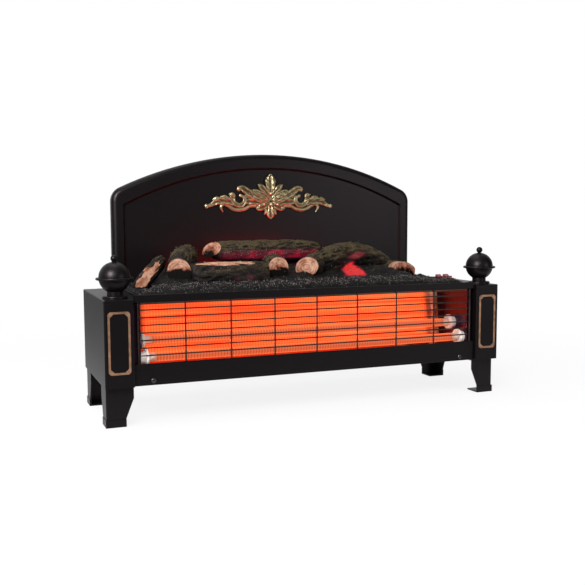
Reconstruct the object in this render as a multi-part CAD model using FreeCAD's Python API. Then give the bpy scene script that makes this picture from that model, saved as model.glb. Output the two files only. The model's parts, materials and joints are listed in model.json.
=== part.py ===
import FreeCAD
import Part

import math
import os

from FreeCAD import Placement, Rotation, Vector

# Freestanding radiant electric fire with a lit log bed over two silica-tube elements.
# Millimetres. The origin is on the floor under the middle of the fire:
# X to the right seen from the front, Y to the back, Z up.
# Depths are written from the column faces backwards and heights from the floor.

# Sheet metal casing
WIDTH = 640.0
SHEET = 1.2
BEND = 1.6
FIT = 0.2
FOOT_HEIGHT = 57.0
CASING_HEIGHT = 123.0
CASING_DEPTH = 190.0
CASING_SHELF = 58.0
COLUMN_WIDTH = 41.0
COLUMN_RETURN = 14.0
FRONT_SETBACK = 6.0
APRON_HEIGHT = 31.0
RAIL_DROP = 6.0
RAIL_RISE = 4.5
RAIL_SHELF = 26.0
TRAY_FLANGE = 14.0
REAR_SHELF = 12.0
REAR_LUG = 30.0
REAR_STEP = 15.0

# Feet, folded from thicker strip
FOOT_SHEET = 2.0
FOOT_TOP = 39.0
FOOT_PAD = 28.0
FOOT_SIDE_INSET = 2.0
FOOT_FRONT_SETBACK = 11.0
FOOT_REAR_SETBACK = 2.0
FOOT_STRAIGHT = 17.0
FOOT_ANKLE = 12.0

# Arched back plate with a recessed panel
PLATE_DEPTH = 15.0
PLATE_OVERHANG = 2.0
PLATE_RISE = 216.5
PLATE_ARC = 600.0
PLATE_CORNER = 25.0
PLATE_EDGE = 8.0
PLATE_OVERLAP = 40.0
BORDER_SIDE = 18.0
BORDER_TOP = 22.5
BORDER_FOOT = 28.0
PANEL_ARC = 545.0
PANEL_CORNER = 1.5
PANEL_RECESS = 4.5
PANEL_BEVEL = 3.0

# Cast ornament on the panel
ORNAMENT_DROP = 79.5
ORNAMENT_WIDTH = 235.0
ORNAMENT_RELIEF = 7.0
ORNAMENT_STUD = 1.5
ORNAMENT_STUD_SPAN = 34.0
ORNAMENT_STUD_DROP = 3.0
CLIP_RADIUS = 5.0
CLIP_THICKNESS = 1.0

# Gilt line frames on the columns
TRIM_MARGIN = 5.0
TRIM_FOOT = 19.0
TRIM_HEAD = 16.5
TRIM_LINE = 3.0
TRIM_PROUD = 0.6
TRIM_CORNER = 5.0

# Ball finials
FINIAL_INSET = 20.2
FINIAL_SETBACK = 25.0
FINIAL_FOOT_RADIUS = 17.5
FINIAL_FOOT_HEIGHT = 4.0
FINIAL_NECK_RADIUS = 11.0
FINIAL_BALL_RADIUS = 22.0
FINIAL_BALL_RISE = 29.0
FINIAL_RIM_RADIUS = 26.0
FINIAL_RIM_HEIGHT = 3.2
FINIAL_WALL = 2.0
FINIAL_BEAD_RADIUS = 5.0
FINIAL_STUD_RADIUS = 2.5
FINIAL_NUT_RADIUS = 5.5
FINIAL_NUT_HEIGHT = 4.0

# Fireguard of welded wires
GUARD_UPRIGHTS = 9
GUARD_CROSS_WIRES = 7
GUARD_UPRIGHT_RADIUS = 1.2
GUARD_CROSS_RADIUS = 1.0
GUARD_WELD = 0.4
GUARD_END_INSET = 7.3
GUARD_TUCK = 8.0

# Radiant chamber
END_INSET = 11.0
REFLECTOR_SHEET = 0.8
REFLECTOR_FOCUS = 28.0
REFLECTOR_TILT = 7.0
REFLECTOR_LIP = 6.0
REFLECTOR_FLOOR = 23.0
REFLECTOR_CEILING = 9.0
UPPER_ELEMENT_SETBACK = 50.5
UPPER_ELEMENT_RISE = 58.0
LOWER_ELEMENT_SETBACK = 23.5
LOWER_ELEMENT_RISE = 37.0
TUBE_RADIUS = 6.5
TUBE_BORE = 5.0
TUBE_SEAT = 4.0
COIL_RADIUS = 3.6
COIL_STOP = 8.0
CAP_RADIUS = 12.5
CAP_FLANGE = 4.0
CAP_NECK_RADIUS = 8.5
CAP_LENGTH = 12.0
CAP_BOSS_RADIUS = 6.0
CAP_BOSS_LENGTH = 4.0
STUD_RADIUS = 2.0
STUD_TAIL = 10.0
SHIELD_SETBACK = 97.0
SHIELD_FOOT = 10.0
END_FOOT = 12.0

# Ember bed: runs are depths behind its front edge, rises are heights over the casing top
BED_OVERLAP = 6.0
BED_FLANGE = 3.0
BED_WALL = 3.0
BED_REAR_GAP = 4.0
BED_TOE_RUN = 10.0
BED_TOE_RISE = 7.0
BED_STEP_RUN = 42.0
BED_STEP_RISE = 15.0
BED_BROW_RUN = 86.0
BED_BROW_RISE = 31.0
BED_CREST_RISE = 35.0
BED_REAR_SLOPE = 40.0
BED_REAR_RISE = 24.0
BED_LEFT_SHELF = 24.0
BED_RIGHT_SHELF = 58.0
BED_END_SLOPE = 52.0
EMBER_RADIUS = 30.0
EMBER_HEIGHT = 3.0
EMBER_ROWS = 4
EMBER_COLUMNS = 12

# Logs: points are given across from the middle, back from the column faces and up from the casing top,
# on a bed of the half length below; on another bed they spread with it
LOG_LAYOUT = 262.0
REAR_LOG_ENDS = ((-124.0, 138.0, 54.0), (70.0, 152.0, 51.0))
REAR_LOG_RADII = (18.0, 17.0)
FRONT_LOG_ENDS = ((-172.0, 75.0, 22.0), (-58.0, 72.0, 22.0))
FRONT_LOG_RADII = (23.0, 22.0)
STUB_LOG_ENDS = ((-40.0, 66.0, 29.0), (-33.0, 122.0, 34.0))
STUB_LOG_RADII = (17.0, 15.0)
LEFT_LOG_BENDS = (
    (-196.0, 70.0, 31.5),
    (-178.0, 118.0, 43.0),
    (-165.0, 152.0, 45.0),
    (-160.0, 168.0, 45.0),
)
LEFT_LOG_RADII = (18.0, 21.0, 21.0, 15.0)
LEFT_END_LOG_ENDS = ((-252.0, 84.0, 10.0), (-206.0, 108.0, 46.0))
LEFT_END_LOG_RADII = (12.0, 13.0)
RIGHT_LOG_BENDS = (
    (8.0, 70.0, 33.0),
    (57.0, 96.0, 40.0),
    (110.0, 115.0, 46.0),
    (152.0, 121.0, 37.0),
    (182.0, 124.0, 23.0),
)
RIGHT_LOG_RADII = (15.0, 21.0, 22.0, 20.0, 14.0)
RIGHT_END_LOG_ENDS = ((198.0, 97.0, 20.5), (128.0, 140.0, 24.0))
RIGHT_END_LOG_RADII = (15.0, 12.0)

# Lamps and flicker spinners
LAMP_INSET = 202.0
LAMP_RISE = 43.0
LAMP_GLASS_RADIUS = 27.0
LAMP_GLASS_WALL = 1.0
LAMP_NECK_RADIUS = 10.0
LAMP_NECK_LENGTH = 20.0
LAMP_CAP_RADIUS = 11.0
LAMP_CAP_LENGTH = 24.0
HOLDER_RADIUS = 15.0
HOLDER_LENGTH = 26.0
HOLDER_SEAT = 20.0
BRACKET_WIDTH = 34.0
BRACKET_FOOT = 20.0
STAND_CLEARANCE = 7.8
STAND_WIDTH = 10.0
STAND_HEADROOM = 8.0
STAND_FOOT = 9.0
NEEDLE_RADIUS = 1.2
NEEDLE_LENGTH = 14.0
SPINNER_RADIUS = 42.0
SPINNER_HUB_RADIUS = 8.0
SPINNER_HUB_HEIGHT = 6.0
SPINNER_BLADES = 10
SPINNER_BLADE_WIDTH = 13.0
SPINNER_BLADE_SHEET = 0.6
SPINNER_PITCH = 25.0
RUNNING = 0.05

# Rocker switches
SWITCH_INSET = 21.0
SWITCH_SETBACK = 133.0
SWITCH_GAP = 2.2
SWITCH_BEZEL_MARGIN = 1.0
SWITCH_BEZEL_HEIGHT = 2.0
SWITCH_BODY_WIDTH = 12.8
SWITCH_BODY_LENGTH = 19.0
SWITCH_BODY_DEPTH = 20.0
SWITCH_WALL = 1.1
ROCKER_PLAY = 0.3
ROCKER_END_PLAY = 1.2
ROCKER_FLOOR_PLAY = 2.4
ROCKER_END_HEIGHT = 8.0
ROCKER_MID_HEIGHT = 6.2
ROCKER_PIVOT_DEPTH = 1.0
ROCKER_PIN_RADIUS = 1.2
ROCKER_TILT = 9.0

# Electrical pieces
CUTOUT_RADIUS = 8.0
CUTOUT_HEIGHT = 9.0
CUTOUT_FLANGE = 26.0
CUTOUT_RISE = 80.0
BLOCK_LENGTH = 44.0
BLOCK_DEPTH = 20.0
BLOCK_HEIGHT = 17.0
BLOCK_WAYS = 3
BLOCK_WAY_RADIUS = 3.0
BLOCK_GAP = 4.0
CABLE_INSET = 98.0
CABLE_RISE = 25.0
CABLE_BORE = 4.0
BUSH_RADIUS = 6.5
BUSH_FLANGE_RADIUS = 9.5
BUSH_FLANGE = 3.0

# Vents in the rear panel
VENT_COLUMNS = 9
VENT_ROWS = 3
VENT_LENGTH = 34.0
VENT_HEIGHT = 5.0
VENT_PITCH_Z = 14.0
VENT_RISE = 32.0

# Screws
SCREW_RADIUS = 1.8
SCREW_HOLE = 1.9
SCREW_HEAD_RADIUS = 3.6
SCREW_HEAD_HEIGHT = 2.0
SCREW_REACH = 5.0
APRON_SCREW_INSET = 27.3
APRON_SCREW_RISE = 6.5
FOOT_SCREW_GAP = 4.2
PLATE_SCREW_RISE = 13.0
REAR_SCREW_RISE = 18.0

# Places that follow from the sizes above
HALF = WIDTH / 2
PLATE_SETBACK = CASING_DEPTH + REAR_STEP
OVERALL_DEPTH = TRIM_PROUD + PLATE_SETBACK + PLATE_DEPTH
FRONT = TRIM_PROUD - OVERALL_DEPTH / 2
CASING_BOTTOM = FOOT_HEIGHT
CASING_TOP = FOOT_HEIGHT + CASING_HEIGHT
CASING_REAR = FRONT + CASING_DEPTH
COLUMN_INNER = HALF - COLUMN_WIDTH
SHELF_INNER = HALF - CASING_SHELF
TRAY_TOP = CASING_BOTTOM + SHEET
APRON_FACE = FRONT + FRONT_SETBACK
APRON_BACK = APRON_FACE + SHEET
APRON_TOP = CASING_BOTTOM + APRON_HEIGHT
RAIL_BOTTOM = CASING_TOP - RAIL_DROP
REAR_FACE = FRONT + PLATE_SETBACK
REAR_INNER = REAR_FACE - SHEET
END_X = COLUMN_INNER - END_INSET
UPRIGHT_Y = APRON_BACK + FIT + GUARD_UPRIGHT_RADIUS
CROSS_Y = UPRIGHT_Y + GUARD_UPRIGHT_RADIUS + GUARD_CROSS_RADIUS - GUARD_WELD
LIP_FACE = UPRIGHT_Y + GUARD_UPRIGHT_RADIUS + FIT
END_FRONT = CROSS_Y + GUARD_CROSS_RADIUS + FIT
SHIELD_Y = FRONT + SHIELD_SETBACK
CEILING_Z = CASING_TOP - REFLECTOR_CEILING
FLOOR_Z = CASING_BOTTOM + REFLECTOR_FLOOR
PLATE_BOTTOM = CASING_TOP - PLATE_OVERLAP
PLATE_HALF = END_X + PLATE_OVERHANG
PLATE_APEX = CASING_TOP + PLATE_RISE
ORNAMENT_HEIGHT = PLATE_APEX - ORNAMENT_DROP
PANEL_FACE = REAR_FACE + PANEL_RECESS
FINIAL_X = HALF - FINIAL_INSET
FINIAL_Y = FRONT + FINIAL_SETBACK
LAMP_X = HALF - LAMP_INSET
LAMP_Y = (SHIELD_Y + SHEET + REAR_INNER) / 2
LAMP_Z = CASING_BOTTOM + LAMP_RISE
SWITCH_Y = FRONT + SWITCH_SETBACK
SWITCH_Z = CASING_TOP - ROCKER_PIVOT_DEPTH
SWITCH_PITCH = SWITCH_BODY_WIDTH + SWITCH_GAP
ROCKER_HALF_LENGTH = SWITCH_BODY_LENGTH / 2 - SWITCH_WALL - ROCKER_END_PLAY
STAND_SPAN = 2 * (LAMP_GLASS_RADIUS + STAND_CLEARANCE + SHEET)
CABLE_X = HALF - CABLE_INSET
VENT_PITCH_X = 2 * CABLE_X / VENT_COLUMNS
BED_FRONT = APRON_BACK + 2 * FIT
BED_REAR = REAR_INNER - BED_REAR_GAP

X = Vector(1, 0, 0)
Y = Vector(0, 1, 0)
Z = Vector(0, 0, 1)
ORIGIN = Vector(0, 0, 0)


# Small builders


def box(x0, x1, y0, y1, z0, z1):
    return Part.makeBox(x1 - x0, y1 - y0, z1 - z0, Vector(x0, y0, z0))


def rod(start, direction, radius, length):
    return Part.makeCylinder(radius, length, start, direction)


def prism(points, sweep):
    return Part.Face(Part.makePolygon(points + points[:1])).extrude(sweep)


def joined(first, *others):
    return first.fuse(list(others)).removeSplitter()


def mirrored(shape):
    return shape.mirror(ORIGIN, X)


def edges_on(shape, **place):
    """Edges whose ends all lie at the given coordinates."""
    axes = {"x": 0, "y": 1, "z": 2}
    return [
        edge
        for edge in shape.Edges
        if all(abs(v.Point[axes[k]] - place[k]) < 1e-6 for v in edge.Vertexes for k in place)
    ]


def rounded(shape, radius, *places):
    edges = [edge for place in places for edge in edges_on(shape, **place)]
    return shape.makeFillet(radius, edges)


def largest(shape):
    return max(shape.Solids, key=lambda solid: solid.Volume)


def save(name, *shapes):
    shape = shapes[0] if len(shapes) == 1 else Part.makeCompound(list(shapes))
    shape.exportStep(os.path.join("parts", name + ".step"))


def screw(seat, direction):
    """A pan-head screw with its head outside the seat and its shank along the direction."""
    head = rod(seat - direction * SCREW_HEAD_HEIGHT, direction, SCREW_HEAD_RADIUS, SCREW_HEAD_HEIGHT)
    outer = max(head.Edges, key=lambda e: (e.Vertexes[0].Point - seat).dot(direction * -1))
    head = head.makeFillet(SCREW_HEAD_HEIGHT * 0.6, [outer])
    return joined(head, rod(seat, direction, SCREW_RADIUS, SCREW_REACH))


def screw_hole(seat, direction):
    return rod(seat - direction * SCREW_REACH, direction, SCREW_HOLE, 2 * SCREW_REACH)


# Screw places


def apron_screw_seats():
    z = CASING_BOTTOM + APRON_SCREW_RISE
    return [Vector(side * (COLUMN_INNER - APRON_SCREW_INSET), APRON_FACE, z) for side in (-1, 1)]


def plate_screw_seats():
    z = PLATE_BOTTOM + PLATE_SCREW_RISE
    spread = PLATE_HALF - BORDER_SIDE
    return [Vector(spread * k, REAR_FACE + SHEET, z) for k in (-0.85, -0.3, 0.3, 0.85)]


def rear_screw_seats():
    x = END_X + REAR_LUG / 2
    heights = (CASING_BOTTOM + REAR_SCREW_RISE, CASING_TOP - REAR_SCREW_RISE)
    return [Vector(side * x, CASING_REAR + SHEET, z) for side in (-1, 1) for z in heights]


def foot_corners():
    """The outer lower corner of each foot, with the directions that point inwards."""
    x = HALF - FOOT_SIDE_INSET
    front = FRONT + FOOT_FRONT_SETBACK
    rear = CASING_REAR - FOOT_REAR_SETBACK
    return {
        "foot_front_left": (-x, front, 1, 1),
        "foot_front_right": (x, front, -1, 1),
        "foot_rear_left": (-x, rear, 1, -1),
        "foot_rear_right": (x, rear, -1, -1),
    }


def foot_screw_seats():
    near = FOOT_SHEET + SCREW_HEAD_RADIUS + FOOT_SCREW_GAP
    far = FOOT_TOP - SCREW_HEAD_RADIUS - FIT
    z = FOOT_HEIGHT - FOOT_SHEET
    return [
        Vector(x + sx * a, y + sy * b, z)
        for x, y, sx, sy in foot_corners().values()
        for a, b in ((near, far), (far, near))
    ]


# Casing


def end_casing():
    """The left end casing: column face, side, top and rear flange folded from one sheet."""
    column_back = APRON_BACK + FIT
    outer = joined(
        box(-HALF, -COLUMN_INNER, FRONT, CASING_REAR, CASING_BOTTOM, CASING_TOP),
        box(-COLUMN_INNER, -SHELF_INNER, column_back, CASING_REAR, CASING_BOTTOM, CASING_TOP),
    )
    outer = rounded(
        outer,
        BEND,
        {"x": -HALF, "y": FRONT},
        {"x": -HALF, "y": CASING_REAR},
        {"x": -COLUMN_INNER, "y": FRONT},
        {"x": -HALF, "z": CASING_TOP},
        {"y": FRONT, "z": CASING_TOP},
        {"y": CASING_REAR, "z": CASING_TOP},
    )
    below = CASING_BOTTOM - 1
    under = CASING_TOP - SHEET
    inner = -HALF + SHEET
    open_side = -SHELF_INNER + 1
    behind_return = FRONT + COLUMN_RETURN
    hollow = joined(
        box(inner, -COLUMN_INNER - SHEET, FRONT + SHEET, CASING_REAR - SHEET, below, under),
        box(inner, open_side, behind_return, CASING_REAR - SHEET, below, under),
        box(-COLUMN_INNER, open_side, column_back - 1, behind_return + 1, below, under),
    )
    stud = rod(Vector(-FINIAL_X, FINIAL_Y, under - 1), Z, FINIAL_STUD_RADIUS + FIT, 3 * SHEET)
    holes = [screw_hole(s, Y * -1) for s in rear_screw_seats() if s.x < 0]
    return outer.cut([hollow, stud] + holes)


def switch_places():
    middle = HALF - SWITCH_INSET
    return {"left": middle - SWITCH_PITCH / 2, "right": middle + SWITCH_PITCH / 2}


def right_casing():
    half_length = SWITCH_BODY_LENGTH / 2 + FIT
    half_width = SWITCH_BODY_WIDTH / 2 + FIT
    low = CASING_TOP - 2 * SHEET
    front, back = SWITCH_Y - half_length, SWITCH_Y + half_length
    cuts = [
        box(x - half_width, x + half_width, front, back, low, CASING_TOP + 1)
        for x in switch_places().values()
    ]
    return mirrored(end_casing()).cut(cuts)


def base_tray():
    side = HALF - SHEET - FIT
    wide_front = FRONT + COLUMN_RETURN + FIT
    middle = COLUMN_INNER - FIT
    narrow = SHELF_INNER - FIT
    tray = joined(
        box(-middle, middle, APRON_BACK, wide_front, CASING_BOTTOM, TRAY_TOP),
        box(-side, side, wide_front, CASING_REAR - SHEET - FIT, CASING_BOTTOM, TRAY_TOP),
        box(-narrow, narrow, CASING_REAR - 2 * SHEET, REAR_INNER, CASING_BOTTOM, TRAY_TOP),
        box(-middle, middle, APRON_BACK, APRON_BACK + SHEET, CASING_BOTTOM, CASING_BOTTOM + TRAY_FLANGE),
    )
    holes = [screw_hole(s, Z) for s in foot_screw_seats()]
    holes += [screw_hole(s, Y) for s in apron_screw_seats()]
    return tray.cut(holes)


def apron():
    half = COLUMN_INNER - FIT
    sheet = box(-half, half, APRON_FACE, APRON_BACK, CASING_BOTTOM, APRON_TOP)
    long_edges = [{"y": APRON_FACE, "z": z} for z in (CASING_BOTTOM, APRON_TOP)]
    sheet = rounded(sheet, SHEET / 3, *long_edges)
    return sheet.cut([screw_hole(s, Y) for s in apron_screw_seats()])


def top_rail():
    half = COLUMN_INNER - FIT
    lip_top = CASING_TOP + RAIL_RISE
    lip = box(-half, half, APRON_FACE, APRON_BACK, RAIL_BOTTOM, lip_top)
    lip = rounded(lip, SHEET / 3, {"y": APRON_FACE, "z": lip_top}, {"y": APRON_FACE, "z": RAIL_BOTTOM})
    shelf_half = SHELF_INNER - FIT
    shelf = box(-shelf_half, shelf_half, APRON_BACK, APRON_BACK + RAIL_SHELF, CASING_TOP - SHEET, CASING_TOP)
    return joined(lip, shelf)


def rear_panel():
    """Hat-section back of the chassis, with its vents, lugs and the shelf under the bed."""
    lug = END_X + REAR_LUG
    half = [
        Vector(lug, CASING_REAR, CASING_BOTTOM),
        Vector(lug, CASING_REAR + SHEET, CASING_BOTTOM),
        Vector(END_X, CASING_REAR + SHEET, CASING_BOTTOM),
        Vector(END_X, REAR_FACE, CASING_BOTTOM),
    ]
    inside = [
        Vector(END_X - SHEET, REAR_INNER, CASING_BOTTOM),
        Vector(END_X - SHEET, CASING_REAR, CASING_BOTTOM),
    ]
    left = [Vector(-p.x, p.y, p.z) for p in half]
    left_inside = [Vector(-p.x, p.y, p.z) for p in inside]
    outline = half + left[::-1] + left_inside[::-1] + inside
    panel = prism(outline, Z * CASING_HEIGHT)
    shelf_half = SHELF_INNER - FIT
    shelf = box(-shelf_half, shelf_half, REAR_INNER - REAR_SHELF, REAR_INNER, CASING_TOP - SHEET, CASING_TOP)
    holes = [vent(i, j) for i in range(VENT_COLUMNS) for j in range(VENT_ROWS)]
    holes += [screw_hole(s, Y * -1) for s in plate_screw_seats() + rear_screw_seats()]
    holes.append(rod(cable_place(), Y, BUSH_RADIUS + FIT, 4 * SHEET))
    return joined(panel, shelf).cut(holes)


def cable_place():
    return Vector(CABLE_X, REAR_INNER - SHEET, CASING_BOTTOM + CABLE_RISE)


def vent(i, j):
    """One slot with round ends, left of the cable hole."""
    x = -CABLE_X + i * VENT_PITCH_X
    z = CASING_BOTTOM + VENT_RISE + j * VENT_PITCH_Z
    r = VENT_HEIGHT / 2
    start = REAR_INNER - SHEET
    straight = VENT_LENGTH - VENT_HEIGHT
    return joined(
        box(x, x + straight, start, REAR_FACE + SHEET, z - r, z + r),
        rod(Vector(x, start, z), Y, r, 3 * SHEET),
        rod(Vector(x + straight, start, z), Y, r, 3 * SHEET),
    )


# Feet


def foot(x, y, sx, sy):
    """A corner bracket: two tapering flanges, a top plate for the screws and a floor pad."""
    tall = FOOT_HEIGHT - FOOT_STRAIGHT
    taper = [(0, 0), (FOOT_PAD, 0), (FOOT_PAD, FOOT_ANKLE)]
    taper += [(FOOT_TOP, tall), (FOOT_TOP, FOOT_HEIGHT), (0, FOOT_HEIGHT)]
    front = prism([Vector(a, 0, z) for a, z in taper], Y * FOOT_SHEET)
    side = prism([Vector(0, a, z) for a, z in taper], X * FOOT_SHEET)
    plate = box(0, FOOT_TOP, 0, FOOT_TOP, FOOT_HEIGHT - FOOT_SHEET, FOOT_HEIGHT)
    pad = box(0, FOOT_PAD, 0, FOOT_PAD, 0, FOOT_SHEET)
    bracket = joined(front, side, plate, pad)
    bracket = rounded(bracket, FOOT_SHEET, {"x": 0, "y": 0})
    if sx < 0:
        bracket = bracket.mirror(ORIGIN, X)
    if sy < 0:
        bracket = bracket.mirror(ORIGIN, Y)
    bracket.translate(Vector(x, y, 0))
    return bracket.cut([screw_hole(s, Z) for s in foot_screw_seats()])


# Back plate


def arch(half, apex, radius, corner, bottom, y):
    """A closed outline with upright sides, round shoulders and an arched top."""
    centre = Vector(0, y, apex - radius)
    rise = math.sqrt((radius - corner) ** 2 - (half - corner) ** 2)
    shoulder = Vector(half - corner, y, centre.z + rise)
    swing = math.atan2(rise, half - corner)

    def on_shoulder(angle):
        return shoulder + Vector(math.cos(angle), 0, math.sin(angle)) * corner

    def flip(p):
        return Vector(-p.x, p.y, p.z)

    foot_point = Vector(half, y, bottom)
    side, middle, top = on_shoulder(0), on_shoulder(swing / 2), on_shoulder(swing)
    edges = [
        Part.makeLine(flip(foot_point), foot_point),
        Part.makeLine(foot_point, side),
        Part.Arc(side, middle, top).toShape(),
        Part.Arc(top, Vector(0, y, apex), flip(top)).toShape(),
        Part.Arc(flip(top), flip(middle), flip(side)).toShape(),
        Part.makeLine(flip(side), flip(foot_point)),
    ]
    return Part.Wire(edges)


def plate_outline(inset, y):
    return arch(
        PLATE_HALF - inset,
        PLATE_APEX - inset,
        PLATE_ARC - inset,
        PLATE_CORNER - inset,
        PLATE_BOTTOM + inset,
        y,
    )


def panel_outline(inset, y):
    return arch(
        PLATE_HALF - BORDER_SIDE - inset,
        PLATE_APEX - BORDER_TOP - inset,
        PANEL_ARC - inset,
        PANEL_CORNER,
        PLATE_BOTTOM + BORDER_FOOT + inset,
        y,
    )


def back_plate():
    """A pressed pan, open at the back, with a bevelled step down to the panel."""
    back = REAR_FACE + PLATE_DEPTH
    pan = Part.Face(plate_outline(0, REAR_FACE)).extrude(Y * PLATE_DEPTH)
    pan = rounded(pan, PLATE_EDGE, {"y": REAR_FACE})
    inner_face = REAR_FACE + SHEET
    pocket = Part.Face(plate_outline(SHEET, inner_face)).extrude(Y * PLATE_DEPTH)
    pocket = rounded(pocket, PLATE_EDGE - SHEET, {"y": inner_face})
    wrap = SHEET * (math.hypot(PANEL_BEVEL, PANEL_RECESS) - PANEL_BEVEL) / PANEL_RECESS
    step = Part.makeLoft([panel_outline(0, REAR_FACE), panel_outline(PANEL_BEVEL, PANEL_FACE)], True, True)
    step_back = Part.makeLoft(
        [panel_outline(-wrap, inner_face), panel_outline(PANEL_BEVEL - wrap, PANEL_FACE + SHEET)], True, True
    )
    holes = [screw_hole(s, Y) for s in plate_screw_seats()]
    holes += [rod(p, Y, ORNAMENT_STUD + FIT / 2, 4 * SHEET) for p in ornament_studs(PANEL_FACE - SHEET)]
    return pan.cut([pocket.cut(step_back), step] + holes)


# Ornament


def ornament_studs(y):
    return [Vector(side * ORNAMENT_STUD_SPAN, y, ORNAMENT_HEIGHT - ORNAMENT_STUD_DROP) for side in (-1, 1)]


def ornament_point(x, z):
    """A place on the panel, in shares of the ornament's half width from its middle."""
    half = ORNAMENT_WIDTH / 2
    return Vector(x * half, PANEL_FACE, ORNAMENT_HEIGHT + z * half)


def leaf(x, z, lean, length, width, relief):
    """A pointed leaf, flat on the panel, leaning from upright by an angle to the right."""
    half = ORNAMENT_WIDTH / 2
    turn = math.radians(lean)
    along = Vector(math.sin(turn), 0, math.cos(turn)) * (length * half)
    across = Vector(math.cos(turn), 0, -math.sin(turn)) * (width * half / 2)
    root = ornament_point(x, z)
    tip = root + along
    belly = root + along * 0.45
    sides = [
        Part.Arc(root, belly + across, tip).toShape(),
        Part.Arc(tip, belly - across, root).toShape(),
    ]
    return Part.Face(Part.Wire(sides)).extrude(Y * (-relief * ORNAMENT_RELIEF))


def before_panel(shape):
    """The part of a shape that stands in front of the panel."""
    reach = shape.BoundBox
    reach.enlarge(SHEET)
    return shape.common(box(reach.XMin, reach.XMax, reach.YMin, PANEL_FACE, reach.ZMin, reach.ZMax))


def ring(x, z, radius, tube):
    half = ORNAMENT_WIDTH / 2
    centre = ornament_point(x, z) - Y * (tube * half / 2)
    return before_panel(Part.makeTorus(radius * half, tube * half, centre, Y))


def knob(x, z, radius):
    return before_panel(Part.makeSphere(radius * ORNAMENT_WIDTH / 2, ornament_point(x, z)))


def ornament():
    half = [
        leaf(0, 0.034, 36, 0.315, 0.145, 0.86),
        leaf(0, 0, 66, 0.39, 0.145, 0.72),
        leaf(0, -0.017, 122, 0.255, 0.11, 0.72),
        leaf(0.068, -0.026, 97, 0.44, 0.077, 0.58),
        leaf(0.41, 0.051, 30, 0.145, 0.068, 0.72),
        leaf(0.53, -0.034, 70, 0.32, 0.1, 0.58),
        leaf(0.51, -0.051, 93, 0.45, 0.06, 0.58),
        ring(0.485, 0.017, 0.077, 0.027),
        knob(0.9617, -0.068, 0.0383),
        knob(0.204, -0.1, 0.0383),
    ]
    middle = [leaf(0, 0.085, 0, 0.319, 0.204, 1), leaf(0, 0, 180, 0.255, 0.162, 1), knob(0, -0.017, 0.077)]
    studs = [rod(p, Y, ORNAMENT_STUD, SHEET + 2 * CLIP_THICKNESS + FIT) for p in ornament_studs(PANEL_FACE)]
    return joined(middle[0], *(middle[1:] + half + [mirrored(s) for s in half] + studs))


def ornament_clips():
    return [
        rod(p, Y, CLIP_RADIUS, CLIP_THICKNESS).cut(rod(p, Y, ORNAMENT_STUD + FIT / 2, CLIP_THICKNESS))
        for p in ornament_studs(PANEL_FACE + SHEET)
    ]


# Column trim and finials


def column_trim():
    """The left gilt line frame, rounded outside and cut across the corners inside."""
    x = -HALF + COLUMN_WIDTH / 2
    foot_z = CASING_BOTTOM + TRIM_FOOT
    head_z = CASING_TOP - TRIM_HEAD
    half = COLUMN_WIDTH / 2 - TRIM_MARGIN
    face = FRONT - TRIM_PROUD
    outer = box(x - half, x + half, face, FRONT, foot_z, head_z)
    corners = [{"x": x + s * half, "z": z} for s in (-1, 1) for z in (foot_z, head_z)]
    outer = rounded(outer, TRIM_CORNER, *corners)
    a = half - TRIM_LINE
    low = foot_z + TRIM_LINE
    high = head_z - TRIM_LINE
    c = TRIM_CORNER
    right = [(a, low + c), (a, high - c), (a - c, high)]
    window = [(a - c, low)] + right + [(-u, z) for u, z in right[::-1]] + [(c - a, low)]
    return outer.cut(prism([Vector(x + u, face, z) for u, z in window], Y * TRIM_PROUD))


def ball_z():
    return CASING_TOP + FINIAL_BALL_RISE


def upright_rod(radius, low, high):
    return rod(Vector(-FINIAL_X, FINIAL_Y, low), Z, radius, high - low)


def finial_hollow():
    ball = Part.makeSphere(FINIAL_BALL_RADIUS - FINIAL_WALL, Vector(-FINIAL_X, FINIAL_Y, ball_z()))
    return joined(ball, upright_rod(FINIAL_STUD_RADIUS + FIT, CASING_TOP, ball_z() + 2 * FINIAL_BALL_RADIUS))


def finial_base():
    """Foot, neck and lower half of the ball, up to the top of its rim."""
    ball = Part.makeSphere(FINIAL_BALL_RADIUS, Vector(-FINIAL_X, FINIAL_Y, ball_z()))
    lower = ball.common(upright_rod(2 * FINIAL_BALL_RADIUS, CASING_TOP, ball_z()))
    foot_disc = upright_rod(FINIAL_FOOT_RADIUS, CASING_TOP, CASING_TOP + FINIAL_FOOT_HEIGHT)
    foot_disc = rounded(foot_disc, FINIAL_FOOT_HEIGHT * 0.45, {"z": CASING_TOP + FINIAL_FOOT_HEIGHT})
    neck = upright_rod(FINIAL_NECK_RADIUS, CASING_TOP, ball_z() - FINIAL_BALL_RADIUS * 0.8)
    rim = upright_rod(FINIAL_RIM_RADIUS, ball_z() - FINIAL_RIM_HEIGHT, ball_z())
    rim = rounded(rim, FINIAL_RIM_HEIGHT * 0.4, {"z": ball_z()}, {"z": ball_z() - FINIAL_RIM_HEIGHT})
    return joined(lower, foot_disc, neck, rim).cut(finial_hollow())


def finial_cap():
    ball = Part.makeSphere(FINIAL_BALL_RADIUS, Vector(-FINIAL_X, FINIAL_Y, ball_z()))
    upper = ball.common(upright_rod(2 * FINIAL_BALL_RADIUS, ball_z(), ball_z() + 2 * FINIAL_BALL_RADIUS))
    return upper.cut(finial_hollow())


def bead_z():
    """The bead's lowest point outside the stud hole just clears the top of the ball."""
    return ball_z() + FINIAL_BALL_RADIUS + FINIAL_BEAD_RADIUS - FINIAL_STUD_RADIUS * 0.2


def finial_bead():
    """The bead and the stud that draws the finial down on the casing."""
    bead = Part.makeSphere(FINIAL_BEAD_RADIUS, Vector(-FINIAL_X, FINIAL_Y, bead_z()))
    stud_end = CASING_TOP - SHEET - FINIAL_NUT_HEIGHT - 2 * SHEET
    return joined(bead, upright_rod(FINIAL_STUD_RADIUS, stud_end, bead_z()))


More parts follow.
